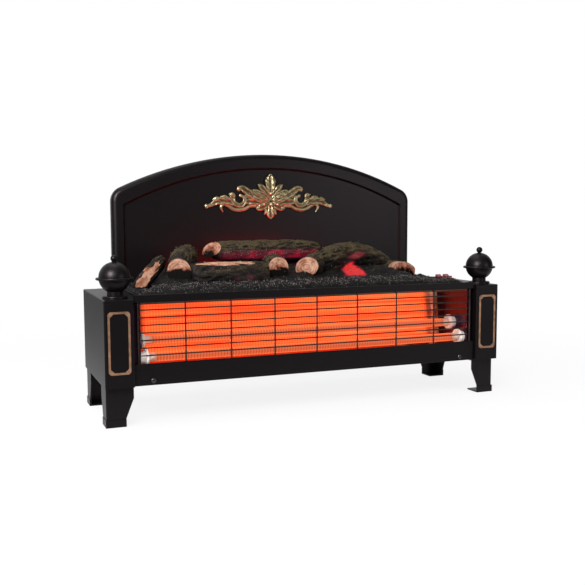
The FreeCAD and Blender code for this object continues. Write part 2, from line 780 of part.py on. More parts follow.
def finial_nut():
    top = CASING_TOP - SHEET
    points = [
        Vector(
            -FINIAL_X + FINIAL_NUT_RADIUS * math.cos(math.radians(60 * k)),
            FINIAL_Y + FINIAL_NUT_RADIUS * math.sin(math.radians(60 * k)),
            top - FINIAL_NUT_HEIGHT,
        )
        for k in range(6)
    ]
    nut = prism(points, Z * FINIAL_NUT_HEIGHT)
    return nut.cut(upright_rod(FINIAL_STUD_RADIUS + FIT / 2, top - 2 * FINIAL_NUT_HEIGHT, top + 1))


# Radiant chamber


def fireguard():
    half = COLUMN_INNER - GUARD_END_INSET
    low = APRON_TOP - GUARD_TUCK
    high = CASING_TOP - SHEET - FIT
    pitch = 2 * half / (GUARD_UPRIGHTS - 1)
    step = (RAIL_BOTTOM - APRON_TOP) / (GUARD_CROSS_WIRES + 1)
    uprights = [
        rod(Vector(-half + k * pitch, UPRIGHT_Y, low), Z, GUARD_UPRIGHT_RADIUS, high - low)
        for k in range(GUARD_UPRIGHTS)
    ]
    cross = [
        rod(Vector(-half, CROSS_Y, APRON_TOP + step * (k + 1)), X, GUARD_CROSS_RADIUS, 2 * half)
        for k in range(GUARD_CROSS_WIRES)
    ]
    return joined(uprights[0], *(uprights[1:] + cross))


def upper_place():
    return FRONT + UPPER_ELEMENT_SETBACK, CASING_BOTTOM + UPPER_ELEMENT_RISE


def lower_place():
    return FRONT + LOWER_ELEMENT_SETBACK, CASING_BOTTOM + LOWER_ELEMENT_RISE


def parabola(angle, outward):
    """A point of the reflector's curve, whose focus is the upper element, moved out by a thickness."""
    y, z = upper_place()
    tilt = math.radians(REFLECTOR_TILT)
    reach = 2 * REFLECTOR_FOCUS / (1 + math.cos(angle))
    ahead = reach * math.cos(angle) + outward * math.cos(angle / 2)
    up = reach * math.sin(angle) + outward * math.sin(angle / 2)
    return Vector(
        -END_X + FIT / 2,
        y + ahead * math.cos(tilt) + up * math.sin(tilt),
        z - ahead * math.sin(tilt) + up * math.cos(tilt),
    )


def parabola_angle(height, low, high):
    """The angle at which the curve passes a height, found by halving."""
    for _ in range(60):
        middle = (low + high) / 2
        if parabola(middle, 0).z < height:
            low = middle
        else:
            high = middle
    return (low + high) / 2


def reflector():
    """Floor, parabolic back and ceiling of one polished sheet, with a lip at each front edge."""
    first = parabola_angle(FLOOR_Z, -2.2, 0.0)
    last = parabola_angle(CEILING_Z, 0.0, 2.2)
    count = 9
    angles = [first + (last - first) * k / (count - 1) for k in range(count)]

    def side(outward):
        curve = Part.BSplineCurve()
        curve.interpolate([parabola(a, outward) for a in angles])
        return curve.toShape()

    x = -END_X + FIT / 2
    t = REFLECTOR_SHEET
    start, end = parabola(first, 0), parabola(last, 0)
    start_out, end_out = parabola(first, t), parabola(last, t)
    lip_low = Vector(x, LIP_FACE, start.z - REFLECTOR_LIP)
    lip_high = Vector(x, LIP_FACE, min(end.z + REFLECTOR_LIP, CASING_TOP - SHEET - FIT))

    def lip(inner, outer, tip):
        knee = Vector(x, LIP_FACE, inner.z)
        outer_knee = Vector(x, LIP_FACE + t, outer.z)
        return [inner, knee, tip, tip + Y * t, outer_knee, outer]

    lower = lip(start, start_out, lip_low)
    upper = lip(end, end_out, lip_high)
    edges = [Part.makePolygon(lower), side(t), Part.makePolygon(upper), side(0)]
    outline = Part.Wire(Part.__sortEdges__([e for shape in edges for e in shape.Edges]))
    return Part.Face(outline).extrude(X * (2 * END_X - FIT))


def reflector_end():
    """The left polished end plate, with its front flange and its foot on the tray."""
    top = CEILING_Z + REFLECTOR_SHEET
    plate = box(-END_X - SHEET, -END_X, END_FRONT, SHIELD_Y - FIT, TRAY_TOP, top)
    flange = box(-COLUMN_INNER + FIT, -END_X, END_FRONT, END_FRONT + SHEET, TRAY_TOP, top)
    foot_front = FRONT + COLUMN_RETURN + FIT
    foot_strip = box(-END_X - END_FOOT, -END_X, foot_front, SHIELD_Y - FIT, TRAY_TOP, TRAY_TOP + SHEET)
    holes = [
        rod(Vector(-END_X - 2 * SHEET, y, z), X, CAP_BOSS_RADIUS + FIT, 4 * SHEET)
        for y, z in (upper_place(), lower_place())
    ]
    return joined(plate, flange, foot_strip).cut(holes)


def cap_face():
    """How far out the inner faces of the ceramic caps stand."""
    return END_X - FIT - CAP_LENGTH


def silica_tube(place):
    y, z = place
    half = cap_face() + TUBE_SEAT - FIT
    start = Vector(-half, y, z)
    return rod(start, X, TUBE_RADIUS, 2 * half).cut(rod(start, X, TUBE_BORE, 2 * half))


def coil_half():
    return cap_face() - COIL_STOP


def heating_coil(place):
    y, z = place
    return rod(Vector(-coil_half(), y, z), X, COIL_RADIUS, 2 * coil_half())


def ceramic_cap(place):
    """The left cap: flange, neck with the tube's seat, boss through the end plate, stud hole."""
    y, z = place
    inner = Vector(-cap_face(), y, z)
    boss_length = FIT + SHEET + CAP_BOSS_LENGTH
    flange = rod(inner, X * -1, CAP_RADIUS, CAP_FLANGE)
    flange = rounded(flange, CAP_FLANGE / 3, {"x": -cap_face()})
    neck = rod(inner, X * -1, CAP_NECK_RADIUS, CAP_LENGTH)
    boss = rod(inner - X * CAP_LENGTH, X * -1, CAP_BOSS_RADIUS, boss_length)
    seat = rod(inner, X * -1, TUBE_RADIUS + FIT / 2, TUBE_SEAT)
    bore = rod(inner, X * -1, STUD_RADIUS + FIT / 2, CAP_LENGTH + boss_length)
    return joined(flange, neck, boss).cut([seat, bore])


def terminal_stud(place):
    """The left stud, from the end of the coil out through the cap, with its nut."""
    y, z = place
    start = Vector(-coil_half(), y, z)
    boss_end = END_X + SHEET + CAP_BOSS_LENGTH
    shank = rod(start, X * -1, STUD_RADIUS, boss_end + STUD_TAIL - coil_half())
    return joined(shank, rod(Vector(-boss_end, y, z), X * -1, 2 * STUD_RADIUS, 2 * STUD_RADIUS))


def heat_shield():
    half = END_X - FIT
    sheet = box(-half, half, SHIELD_Y, SHIELD_Y + SHEET, TRAY_TOP, CEILING_Z)
    foot_strip = box(-half, half, SHIELD_Y - SHIELD_FOOT, SHIELD_Y, TRAY_TOP, TRAY_TOP + SHEET)
    return joined(sheet, foot_strip)


# Ember bed and logs


def slope_line(inset):
    """The mound's top from front to rear, as depth and height."""
    front = BED_FRONT + inset
    rear = BED_REAR - inset
    base = CASING_TOP - inset
    return [
        (front + BED_TOE_RUN, base + BED_TOE_RISE),
        (front + BED_STEP_RUN, base + BED_STEP_RISE),
        (front + BED_BROW_RUN, base + BED_BROW_RISE),
        (rear - BED_REAR_SLOPE, base + BED_CREST_RISE),
        (rear, base + BED_REAR_RISE),
    ]


def end_line(inset):
    """The mound's top from left to right, as place across and height."""
    end = SHELF_INNER - 2 * FIT - inset
    toe = CASING_TOP + BED_TOE_RISE - inset
    crest = CASING_TOP + BED_CREST_RISE - inset
    left_shelf = BED_LEFT_SHELF - end
    right_shelf = end - BED_RIGHT_SHELF
    return [
        (-end, toe),
        (left_shelf, toe),
        (left_shelf + BED_END_SLOPE, crest),
        (right_shelf - BED_END_SLOPE, crest),
        (right_shelf, toe),
        (end, toe),
    ]


def grounded(line):
    """The line with a foot on the casing top at both of its ends."""
    return [(line[0][0], CASING_TOP)] + line + [(line[-1][0], CASING_TOP)]


def mound(inset):
    """The heaped embers, filled, drawn in by an inset on every side."""
    slope = prism([Vector(-HALF, y, z) for y, z in grounded(slope_line(inset))], X * WIDTH)
    ends = prism([Vector(x, FRONT, z) for x, z in grounded(end_line(inset))], Y * OVERALL_DEPTH)
    return slope.common(ends)


def height_on(line, place):
    for (first, low), (last, high) in zip(line, line[1:]):
        if first <= place <= last:
            return low + (high - low) * (place - first) / (last - first)


def embers():
    """The main lumps of the heap: low caps of balls sunk into it, in rows set off by half a step."""
    slope = slope_line(0)
    ends = end_line(0)
    front, rear = slope[0][0], slope[-1][0]
    left, right = ends[0][0], ends[-1][0]
    step_y = (rear - front) / EMBER_ROWS
    step_x = (right - left) / EMBER_COLUMNS
    balls = []
    for row in range(EMBER_ROWS):
        y = front + step_y * (row + 0.5)
        shift = 0.25 if row % 2 else 0.75
        for column in range(EMBER_COLUMNS):
            x = left + step_x * (column + shift)
            top = min(height_on(slope, y), height_on(ends, x)) + EMBER_HEIGHT
            balls.append(Part.makeSphere(EMBER_RADIUS, Vector(x, y, top - EMBER_RADIUS)))
    reach = box(left, right, front, rear, CASING_TOP, CASING_TOP + 2 * BED_CREST_RISE)
    return [ball.common(reach) for ball in balls]


def heap():
    return joined(mound(0), bed_flange(), *embers())


def bed_flange():
    half = SHELF_INNER + BED_OVERLAP
    return box(-half, half, BED_FRONT, BED_REAR, CASING_TOP, CASING_TOP + BED_FLANGE)


def ember_bed():
    return heap().cut(mound(BED_WALL))


def log_piece(start, end, radii, start_cut, end_cut):
    """A tapering log between two points, its ends sawn square to the given directions."""
    along = end - start
    length = along.Length
    axis = along.normalize()
    spare = 2.0 * max(radii)
    slope = (radii[1] - radii[0]) / length
    first, last = radii[0] - slope * spare, radii[1] + slope * spare
    shape = Part.makeCone(first, last, length + 2 * spare, start - axis * spare, axis)
    for point, outward in ((start, start_cut), (end, end_cut)):
        shape = shape.cut(half_space(point, outward, 3 * spare))
    return shape


def half_space(point, outward, size):
    block = Part.makeBox(2 * size, 2 * size, size, Vector(-size, -size, 0))
    block.Placement = Placement(point, Rotation(Z, outward))
    return block


def log_points(places):
    """The log's points in the fire's frame, spread along the bed."""
    spread = SHELF_INNER / LOG_LAYOUT
    return [Vector(x * spread, FRONT + back, CASING_TOP + up) for x, back, up in places]


def bent_log(points, radii, first_cut):
    """A smooth bough through round sections, sawn where it starts."""
    spare = 2.0 * radii[0]
    runs = [(b - a).normalize() for a, b in zip(points, points[1:])]
    ways = [runs[0]] + [(a + b).normalize() for a, b in zip(runs, runs[1:])] + [runs[-1]]
    stations = [(points[0] - runs[0] * spare, ways[0], radii[0])] + list(zip(points, ways, radii))
    sections = []
    for centre, way, radius in stations:
        section = Part.Wire(Part.makeCircle(radius, ORIGIN, X))
        section.Placement = Placement(centre, Rotation(X, way))
        sections.append(section)
    bough = Part.makeLoft(sections, True, False)
    return bough.cut(half_space(points[0], first_cut, 3 * spare))


def logs():
    """The seven logs in the order in which they lie on one another, lowest first."""
    rear = log_points(REAR_LOG_ENDS)
    front = log_points(FRONT_LOG_ENDS)
    stub = log_points(STUB_LOG_ENDS)
    left = log_points(LEFT_LOG_BENDS)
    left_end = log_points(LEFT_END_LOG_ENDS)
    right = log_points(RIGHT_LOG_BENDS)
    right_end = log_points(RIGHT_END_LOG_ENDS)
    return {
        "log_rear": log_piece(*rear, REAR_LOG_RADII, Vector(-0.75, -0.7, 0.1), Vector(1, 0, 0.6)),
        "log_right": bent_log(right, RIGHT_LOG_RADII, Vector(-0.5, -1, -0.1)),
        "log_left": bent_log(left, LEFT_LOG_RADII, Y * -1),
        "log_front": log_piece(*front, FRONT_LOG_RADII, X * -1, X),
        "log_stub": log_piece(*stub, STUB_LOG_RADII, Y * -1, Y),
        "log_right_end": log_piece(*right_end, RIGHT_END_LOG_RADII, Vector(0.15, -1, 0), X * -1),
        "log_left_end": log_piece(
            *left_end, LEFT_END_LOG_RADII, Vector(-0.6, -0.8, 0.2), Vector(0.6, 0.3, 0.7)
        ),
    }


def seated_logs():
    """Each log cut to lie on the embers and against the logs placed before it."""
    ground = heap()
    seated = {}
    for name, shape in logs().items():
        seated[name] = largest(shape.cut([ground] + list(seated.values())))
    return seated


# Lamps and spinners, drawn for the left lamp, whose cap points to the left end


def lamp_axis(offset):
    return Vector(-LAMP_X + offset, LAMP_Y, LAMP_Z)


def glass_end():
    """How far the glass reaches left of the lamp's middle."""
    return LAMP_GLASS_RADIUS + LAMP_NECK_LENGTH * 0.6


def glass_shape(radius, neck):
    ball = Part.makeSphere(radius, lamp_axis(0))
    return joined(ball, rod(lamp_axis(-glass_end()), X, neck, glass_end()))


def lamp_glass():
    wall = LAMP_GLASS_WALL
    return glass_shape(LAMP_GLASS_RADIUS, LAMP_NECK_RADIUS).cut(
        glass_shape(LAMP_GLASS_RADIUS - wall, LAMP_NECK_RADIUS - wall)
    )


def lamp_cap():
    return rod(lamp_axis(-glass_end()), X * -1, LAMP_CAP_RADIUS, LAMP_CAP_LENGTH)


def lamp_holder():
    back = glass_end() + LAMP_CAP_LENGTH + HOLDER_LENGTH - HOLDER_SEAT
    body = rod(lamp_axis(-back), X, HOLDER_RADIUS, HOLDER_LENGTH)
    seat = rod(lamp_axis(-back + HOLDER_LENGTH - HOLDER_SEAT), X, LAMP_CAP_RADIUS + FIT, HOLDER_SEAT)
    return body.cut(seat)


def lamp_bracket():
    """An angle with its upright behind the holder and its foot on the tray."""
    back = -LAMP_X - glass_end() - LAMP_CAP_LENGTH - HOLDER_LENGTH + HOLDER_SEAT
    half = BRACKET_WIDTH / 2
    near, far = LAMP_Y - half, LAMP_Y + half
    upright = box(back - SHEET, back, near, far, TRAY_TOP, LAMP_Z + HOLDER_RADIUS)
    foot_strip = box(back - SHEET, back + BRACKET_FOOT, near, far, TRAY_TOP, TRAY_TOP + SHEET)
    return joined(upright, foot_strip)


def needle_base():
    return LAMP_Z + LAMP_GLASS_RADIUS + STAND_HEADROOM + SHEET


def spinner_stand():
    """A strip bridge over the lamp with the needle standing on its middle."""
    x0, x1 = -LAMP_X - STAND_WIDTH / 2, -LAMP_X + STAND_WIDTH / 2
    front, back = LAMP_Y - STAND_SPAN / 2, LAMP_Y + STAND_SPAN / 2
    top = needle_base()
    strip = joined(
        box(x0, x1, front, back, top - SHEET, top),
        box(x0, x1, front, front + SHEET, TRAY_TOP, top),
        box(x0, x1, back - SHEET, back, TRAY_TOP, top),
        box(x0, x1, front, front + STAND_FOOT, TRAY_TOP, TRAY_TOP + SHEET),
        box(x0, x1, back - STAND_FOOT, back, TRAY_TOP, TRAY_TOP + SHEET),
    )
    point = 2 * NEEDLE_RADIUS
    shank = NEEDLE_LENGTH - point
    needle = joined(
        rod(Vector(-LAMP_X, LAMP_Y, top), Z, NEEDLE_RADIUS, shank),
        Part.makeCone(NEEDLE_RADIUS, NEEDLE_RADIUS / 4, point, Vector(-LAMP_X, LAMP_Y, top + shank), Z),
    )
    return joined(strip, needle)


def spinner():
    """A hub with a blind bore over the needle and a ring of pitched blades."""
    tip = needle_base() + NEEDLE_LENGTH
    roof = SPINNER_HUB_HEIGHT / 3
    hub_low = tip + roof - SPINNER_HUB_HEIGHT
    hub = rod(Vector(-LAMP_X, LAMP_Y, hub_low), Z, SPINNER_HUB_RADIUS, SPINNER_HUB_HEIGHT)
    middle = hub_low + SPINNER_HUB_HEIGHT / 2
    inner = SPINNER_HUB_RADIUS * 0.7
    blade = box(
        inner,
        SPINNER_RADIUS,
        -SPINNER_BLADE_WIDTH / 2,
        SPINNER_BLADE_WIDTH / 2,
        -SPINNER_BLADE_SHEET / 2,
        SPINNER_BLADE_SHEET / 2,
    )
    blade.rotate(ORIGIN, X, SPINNER_PITCH)
    blade = blade.common(rod(Vector(0, 0, -SPINNER_BLADE_WIDTH), Z, SPINNER_RADIUS, 2 * SPINNER_BLADE_WIDTH))
    wedge = math.tan(math.pi / SPINNER_BLADES) * SPINNER_RADIUS * 1.5
    reach = SPINNER_RADIUS * 1.5
    gap = 2 * SPINNER_BLADE_SHEET
    sector = [
        Vector(gap / math.tan(math.pi / SPINNER_BLADES), 0, -SPINNER_BLADE_WIDTH),
        Vector(reach, -wedge + gap, -SPINNER_BLADE_WIDTH),
        Vector(reach, wedge - gap, -SPINNER_BLADE_WIDTH),
    ]
    blade = blade.common(prism(sector, Z * (2 * SPINNER_BLADE_WIDTH)))
    blades = []
    for k in range(SPINNER_BLADES):
        copy = blade.copy()
        copy.rotate(ORIGIN, Z, 360.0 * k / SPINNER_BLADES)
        copy.translate(Vector(-LAMP_X, LAMP_Y, middle))
        blades.append(copy)
    under = Vector(-LAMP_X, LAMP_Y, hub_low)
    bore = rod(under, Z, NEEDLE_RADIUS + RUNNING, SPINNER_HUB_HEIGHT - roof + RUNNING)
    open_below = rod(under, Z * -1, SPINNER_HUB_RADIUS, SPINNER_BLADE_WIDTH)
    return joined(hub, *blades).cut([bore, open_below])


# Switches


def switch_body(x):
    """Housing with its bezel on the casing top, a well for the rocker and two pin holes."""
    half = SWITCH_PITCH / 2 - FIT / 2
    length = SWITCH_BODY_LENGTH / 2 + SWITCH_BEZEL_MARGIN
    top = CASING_TOP + SWITCH_BEZEL_HEIGHT
    bezel = box(x - half, x + half, SWITCH_Y - length, SWITCH_Y + length, CASING_TOP, top)
    bezel = rounded(bezel, SWITCH_BEZEL_HEIGHT * 0.3, {"z": top})
    body_half = SWITCH_BODY_WIDTH / 2
    body_length = SWITCH_BODY_LENGTH / 2
    low = CASING_TOP - SWITCH_BODY_DEPTH
    body = box(x - body_half, x + body_half, SWITCH_Y - body_length, SWITCH_Y + body_length, low, CASING_TOP)
    well_half = body_half - SWITCH_WALL
    well_length = body_length - SWITCH_WALL
    well_floor = SWITCH_Z - ROCKER_HALF_LENGTH - ROCKER_FLOOR_PLAY
    well = box(x - well_half, x + well_half, SWITCH_Y - well_length, SWITCH_Y + well_length, well_floor, top)
    pin = rod(Vector(x - body_half, SWITCH_Y, SWITCH_Z), X, ROCKER_PIN_RADIUS + RUNNING, SWITCH_BODY_WIDTH)
    return joined(bezel, body).cut([well, pin])


def rocker(x):
    """A dished rocker on two pins, standing with its front end pressed."""
    half = SWITCH_BODY_WIDTH / 2 - SWITCH_WALL - ROCKER_PLAY
    length = ROCKER_HALF_LENGTH
    end_height = ROCKER_END_HEIGHT

    def at(y, z):
        return Vector(x - half, SWITCH_Y + y, SWITCH_Z + z)

    edges = [
        Part.Arc(at(-length, 0), at(0, -length), at(length, 0)).toShape(),
        Part.makeLine(at(length, 0), at(length, end_height)),
        Part.Arc(at(length, end_height), at(0, ROCKER_MID_HEIGHT), at(-length, end_height)).toShape(),
        Part.makeLine(at(-length, end_height), at(-length, 0)),
    ]
    body = Part.Face(Part.Wire(edges)).extrude(X * (2 * half))
    reach = ROCKER_PLAY + SWITCH_WALL
    pin = rod(Vector(x - half - reach, SWITCH_Y, SWITCH_Z), X, ROCKER_PIN_RADIUS, 2 * (half + reach))
    shape = joined(body, pin)
    shape.rotate(Vector(x, SWITCH_Y, SWITCH_Z), X, ROCKER_TILT)
    return shape


# Electrical pieces


def thermal_cutout():
    """A disc cut-out on its flange, on the lamp side of the heat shield."""
    z = CASING_BOTTOM + CUTOUT_RISE
    back = SHIELD_Y + SHEET
    half = CUTOUT_FLANGE / 2
    flange = box(-half, half, back, back + SHEET, z - CUTOUT_RADIUS, z + CUTOUT_RADIUS)
    return joined(flange, rod(Vector(0, back, z), Y, CUTOUT_RADIUS, CUTOUT_HEIGHT))


def terminal_block():
    x0, x1 = CABLE_X - BLOCK_LENGTH / 2, CABLE_X + BLOCK_LENGTH / 2
    y0 = LAMP_Y + BRACKET_WIDTH / 2 + BLOCK_GAP
    block = box(x0, x1, y0, y0 + BLOCK_DEPTH, TRAY_TOP, TRAY_TOP + BLOCK_HEIGHT)
    pitch = BLOCK_LENGTH / BLOCK_WAYS
    ways = [
        rod(Vector(x0 + pitch * (k + 0.5), y0, TRAY_TOP + BLOCK_HEIGHT / 2), Y, BLOCK_WAY_RADIUS, BLOCK_DEPTH)
        for k in range(BLOCK_WAYS)
    ]
    return block.cut(ways)


def cable_bush():
    """A flanged bush in the rear panel with a lip inside it."""
    inner = Vector(CABLE_X, REAR_INNER - BUSH_FLANGE, CASING_BOTTOM + CABLE_RISE)
    length = BUSH_FLANGE + SHEET + BUSH_FLANGE
    body = rod(inner, Y, BUSH_RADIUS, length)
    outer = rod(Vector(CABLE_X, REAR_FACE, inner.z), Y, BUSH_FLANGE_RADIUS, BUSH_FLANGE)
    lip = rod(inner, Y, BUSH_RADIUS + 2 * FIT, BUSH_FLANGE)
    return joined(body, outer, lip).cut(rod(inner, Y, CABLE_BORE, length))


def both(name, left):
    save(name + "_left", left)
    save(name + "_right", mirrored(left))


def main():
    os.makedirs("parts", exist_ok=True)
    save("end_casing_left", end_casing())
    save("end_casing_right", right_casing())
    save("base_tray", base_tray())
    save("apron", apron())
    save("top_rail", top_rail())
    save("rear_panel", rear_panel())
    save("back_plate", back_plate())
    save("ornament", ornament())
    save("ornament_clips", *ornament_clips())
    for name, corner in foot_corners().items():
        save(name, foot(*corner))
    both("column_trim", column_trim())
    both("finial_base", finial_base())
    both("finial_cap", finial_cap())
    both("finial_bead", finial_bead())
    save("finial_nuts", finial_nut(), mirrored(finial_nut()))
    save("fireguard", fireguard())
    save("reflector", reflector())
    both("reflector_end", reflector_end())
    for name, where in (("upper", upper_place()), ("lower", lower_place())):
        save("silica_tube_" + name, silica_tube(where))
        save("heating_coil_" + name, heating_coil(where))
    caps = [ceramic_cap(where) for where in (upper_place(), lower_place())]
    save("ceramic_caps", *(caps + [mirrored(c) for c in caps]))
    studs = [terminal_stud(where) for where in (upper_place(), lower_place())]
    save("terminal_studs", *(studs + [mirrored(s) for s in studs]))
    save("heat_shield", heat_shield())
    save("ember_bed", ember_bed())
    for name, shape in seated_logs().items():
        save(name, shape)
    both("lamp_glass", lamp_glass())
    save("lamp_caps", lamp_cap(), mirrored(lamp_cap()))
    save("lamp_holders", lamp_holder(), mirrored(lamp_holder()))
    save("lamp_brackets", lamp_bracket(), mirrored(lamp_bracket()))
    both("spinner_stand", spinner_stand())
    both("spinner", spinner())
    for name, x in switch_places().items():
        save("switch_body_" + name, switch_body(x))
        save("rocker_" + name, rocker(x))
    save("thermal_cutout", thermal_cutout())
    save("terminal_block", terminal_block())
    save("cable_bush", cable_bush())
    save("apron_screws", *[screw(s, Y) for s in apron_screw_seats()])
    save("foot_screws", *[screw(s, Z) for s in foot_screw_seats()])
    save("rear_screws", *[screw(s, Y * -1) for s in plate_screw_seats() + rear_screw_seats()])


main()
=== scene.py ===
import json
from math import cos, exp, hypot, pi, radians, sin, sqrt

import bmesh
import bpy
from mathutils import Matrix, Vector, noise

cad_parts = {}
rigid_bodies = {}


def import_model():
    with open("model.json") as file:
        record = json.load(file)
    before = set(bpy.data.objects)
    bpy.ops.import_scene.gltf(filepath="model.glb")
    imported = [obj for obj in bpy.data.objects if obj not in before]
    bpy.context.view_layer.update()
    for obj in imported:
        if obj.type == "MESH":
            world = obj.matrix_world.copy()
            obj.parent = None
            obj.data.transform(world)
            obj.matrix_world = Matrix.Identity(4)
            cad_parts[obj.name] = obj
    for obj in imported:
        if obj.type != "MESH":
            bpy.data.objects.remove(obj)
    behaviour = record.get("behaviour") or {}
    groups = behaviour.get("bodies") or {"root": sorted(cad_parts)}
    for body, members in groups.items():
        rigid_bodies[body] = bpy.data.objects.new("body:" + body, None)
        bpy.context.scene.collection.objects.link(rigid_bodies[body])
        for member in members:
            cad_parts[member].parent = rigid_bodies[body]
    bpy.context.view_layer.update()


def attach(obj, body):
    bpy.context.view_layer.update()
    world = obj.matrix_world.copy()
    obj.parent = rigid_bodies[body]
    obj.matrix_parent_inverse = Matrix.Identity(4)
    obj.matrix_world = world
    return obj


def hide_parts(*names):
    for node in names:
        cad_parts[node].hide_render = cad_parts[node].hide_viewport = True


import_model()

SCENE = bpy.context.scene

MM = 0.001
COLUMN_FACE_Y = -109.7  # y of the column faces in the shared frame, in mm
CASING_TOP = 180.0  # height of the casing's flat top, in mm

# Camera, as the photograph was taken

CAMERA_PLACE = (-0.50393, -1.25422, 0.29688)
CAMERA_YAW = radians(21.919)
CAMERA_PITCH = radians(5.397)
CAMERA_ROLL = radians(-0.216)
CAMERA_LENS = 51.58
CAMERA_SENSOR = 36.0
CAMERA_NEAR = 0.02

lens = bpy.data.cameras.new("camera")
lens.lens = CAMERA_LENS
lens.sensor_width = CAMERA_SENSOR
lens.clip_start = CAMERA_NEAR
camera = bpy.data.objects.new("camera", lens)
camera.matrix_world = (
    Matrix.Translation(CAMERA_PLACE) @ Matrix.Rotation(-CAMERA_YAW, 4, "Z")
    @ Matrix.Rotation(pi / 2 - CAMERA_PITCH, 4, "X") @ Matrix.Rotation(CAMERA_ROLL, 4, "Z")
)
SCENE.collection.objects.link(camera)
SCENE.camera = camera
SCENE.view_settings.view_transform = "Standard"


# Small helpers

def place(x, back, up):
    """A point in metres from mm: across, behind the column faces, above the floor."""
    return Vector((x * MM, (back + COLUMN_FACE_Y) * MM, up * MM))


def srgb(code):
    """Linear colour from an sRGB hex code."""
    parts = [int(code[i:i + 2], 16) / 255 for i in (1, 3, 5)]
    return tuple(p / 12.92 if p <= 0.04045 else ((p + 0.055) / 1.055) ** 2.4 for p in parts) + (1.0,)


def ramp(value, low, high):
    """A smooth step from 0 at low to 1 at high."""
    share = min(max((value - low) / (high - low), 0.0), 1.0)
    return share * share * (3.0 - 2.0 * share)


def between(value, span):
    """A smooth hump over four places: it rises between the first two and falls between the last two."""
    start, full, fading, end = span
    return ramp(value, start, full) * ramp(value, end, fading)


def shown(name, data):
    """A new object of a mesh or lamp in the scene."""
    shape = bpy.data.objects.new(name, data)
    SCENE.collection.objects.link(shape)
    return shape


def settled(build, name):
    """The finished mesh of a build, which is then freed."""
    mesh = bpy.data.meshes.new(name)
    build.to_mesh(mesh)
    build.free()
    return mesh


def around(sides):
    """Angles of the points on a ring."""
    return [2 * pi * k / sides for k in range(sides)]


def skin(build, rings):
    """Faces between closed rings of points, each with the next."""
    for near, far in zip(rings, rings[1:]):
        for k in range(len(near)):
            following = (k + 1) % len(near)
            build.faces.new((near[k], near[following], far[following], far[k]))


def join(tree, source, socket):
    """Link a node or socket to an input, or set the input to a constant."""
    if isinstance(source, bpy.types.Node):
        source = source.outputs[0]
    if isinstance(source, bpy.types.NodeSocket):
        tree.links.new(source, socket)
    else:
        socket.default_value = source


def add(tree, kind, links=None, **settings):
    """A node with its settings; links maps an input to a node, a socket or a constant."""
    node = tree.nodes.new(kind)
    for key, value in settings.items():
        setattr(node, key, value)
    for key, source in (links or {}).items():
        join(tree, source, node.inputs[key])
    return node


def feed(tree, node, **sources):
    """Give inputs, named with _ for their spaces, a node, a socket or a constant."""
    for key, source in sources.items():
        join(tree, source, node.inputs[key.replace("_", " ")])


def calc(tree, operation, *terms):
    """A maths node of one to three terms."""
    return add(tree, "ShaderNodeMath", dict(enumerate(terms)), operation=operation)


def spread(tree, value, low, high, start=0.0, end=1.0, kind="LINEAR"):
    """A node that maps low to start and high to end, and is level beyond them."""
    return add(tree, "ShaderNodeMapRange", {
        "Value": value, "From Min": low, "From Max": high, "To Min": start, "To Max": end,
    }, interpolation_type=kind)


def toned(tree, share, *pairs):
    """A colour ramp over a share, from pairs of place and hex colour."""
    node = add(tree, "ShaderNodeValToRGB", {"Fac": share})
    scale = node.color_ramp
    while len(scale.elements) > 1:
        scale.elements.remove(scale.elements[-1])
    for index, (position, code) in enumerate(pairs):
        mark = scale.elements[0] if index == 0 else scale.elements.new(position)
        mark.position = position
        mark.color = srgb(code)
    return node


def blend(tree, share, first, second):
    """A colour between two others, each a node, a socket or a hex code."""
    first, second = (srgb(colour) if isinstance(colour, str) else colour for colour in (first, second))
    return add(tree, "ShaderNodeMix", {0: share, 6: first, 7: second}, data_type="RGBA").outputs[2]


def attribute(tree, name):
    """The value of a mesh attribute."""
    return add(tree, "ShaderNodeAttribute", attribute_name=name).outputs["Fac"]


def spot_in(tree, kind="Object"):
    """Coordinates of the shaded point."""
    return add(tree, "ShaderNodeTexCoord").outputs[kind]


def grain(tree, size, detail=2.0, stretch=(1.0, 1.0, 1.0)):
    """Noise in object coordinates, its grain given in mm."""
    shaped = add(tree, "ShaderNodeMapping", {"Vector": spot_in(tree), "Scale": stretch})
    return add(tree, "ShaderNodeTexNoise", {"Vector": shaped, "Scale": 1.0 / (size * MM), "Detail": detail})


def material(name, colour, rough, metal=0.0, **more):
    """A new material with plain constants on its own shader; returns it, its tree and shader."""
    made = bpy.data.materials.new(name)
    made.use_nodes = True
    tree = made.node_tree
    shader = tree.nodes["Principled BSDF"]
    feed(tree, shader, Base_Color=srgb(colour), Roughness=rough, Metallic=metal, **more)
    made.diffuse_color = srgb(colour)
    return made, tree, shader


def bumped(tree, shader, height, depth, strength=1.0):
    """Feed a height into the shader's normal, with its depth in mm."""
    feed(tree, shader, Normal=add(tree, "ShaderNodeBump", {
        "Height": height, "Distance": depth * MM, "Strength": strength,
    }))


# Materials

BEAM = 18.0  # strength of the painted glow on the open rear of the bed, whose light reaches the plate
REAR_GLOW = 1.7  # painted glow of the rear log's far side, which the plate mirrors
COIL_PITCH = 4.5  # mm between the turns of a heating coil
TUBE_HEAT = 1.22  # strength of the glowing tubes
FRONT_SHARE = 0.56  # share of the heat on the open side of a tube
REAR_SHARE = 1.75  # share on the side that faces the reflector, raised as painted light that the reflector throws back on it
HOT_END = 0.239  # metres from the middle at which a tube's glow starts to fade
COLD_END = 0.251  # metres from the middle at which it is gone
ZINC_PATCHES = 90.0  # crystal patches in a metre
RING_TURN = 17.0  # radians of the growth rings in 10 mm
RING_WANDER = 0.55  # waviness of the growth rings, in units of 10 mm


def fine_grained(name, colour, rough, size, depth, strength=1.0, **more):
    """A paint, moulding or ceramic with a fine grain in its surface, in mm across and deep."""
    made, tree, shader = material(name, colour, rough, **more)
    bumped(tree, shader, grain(tree, size), depth, strength)
    return made


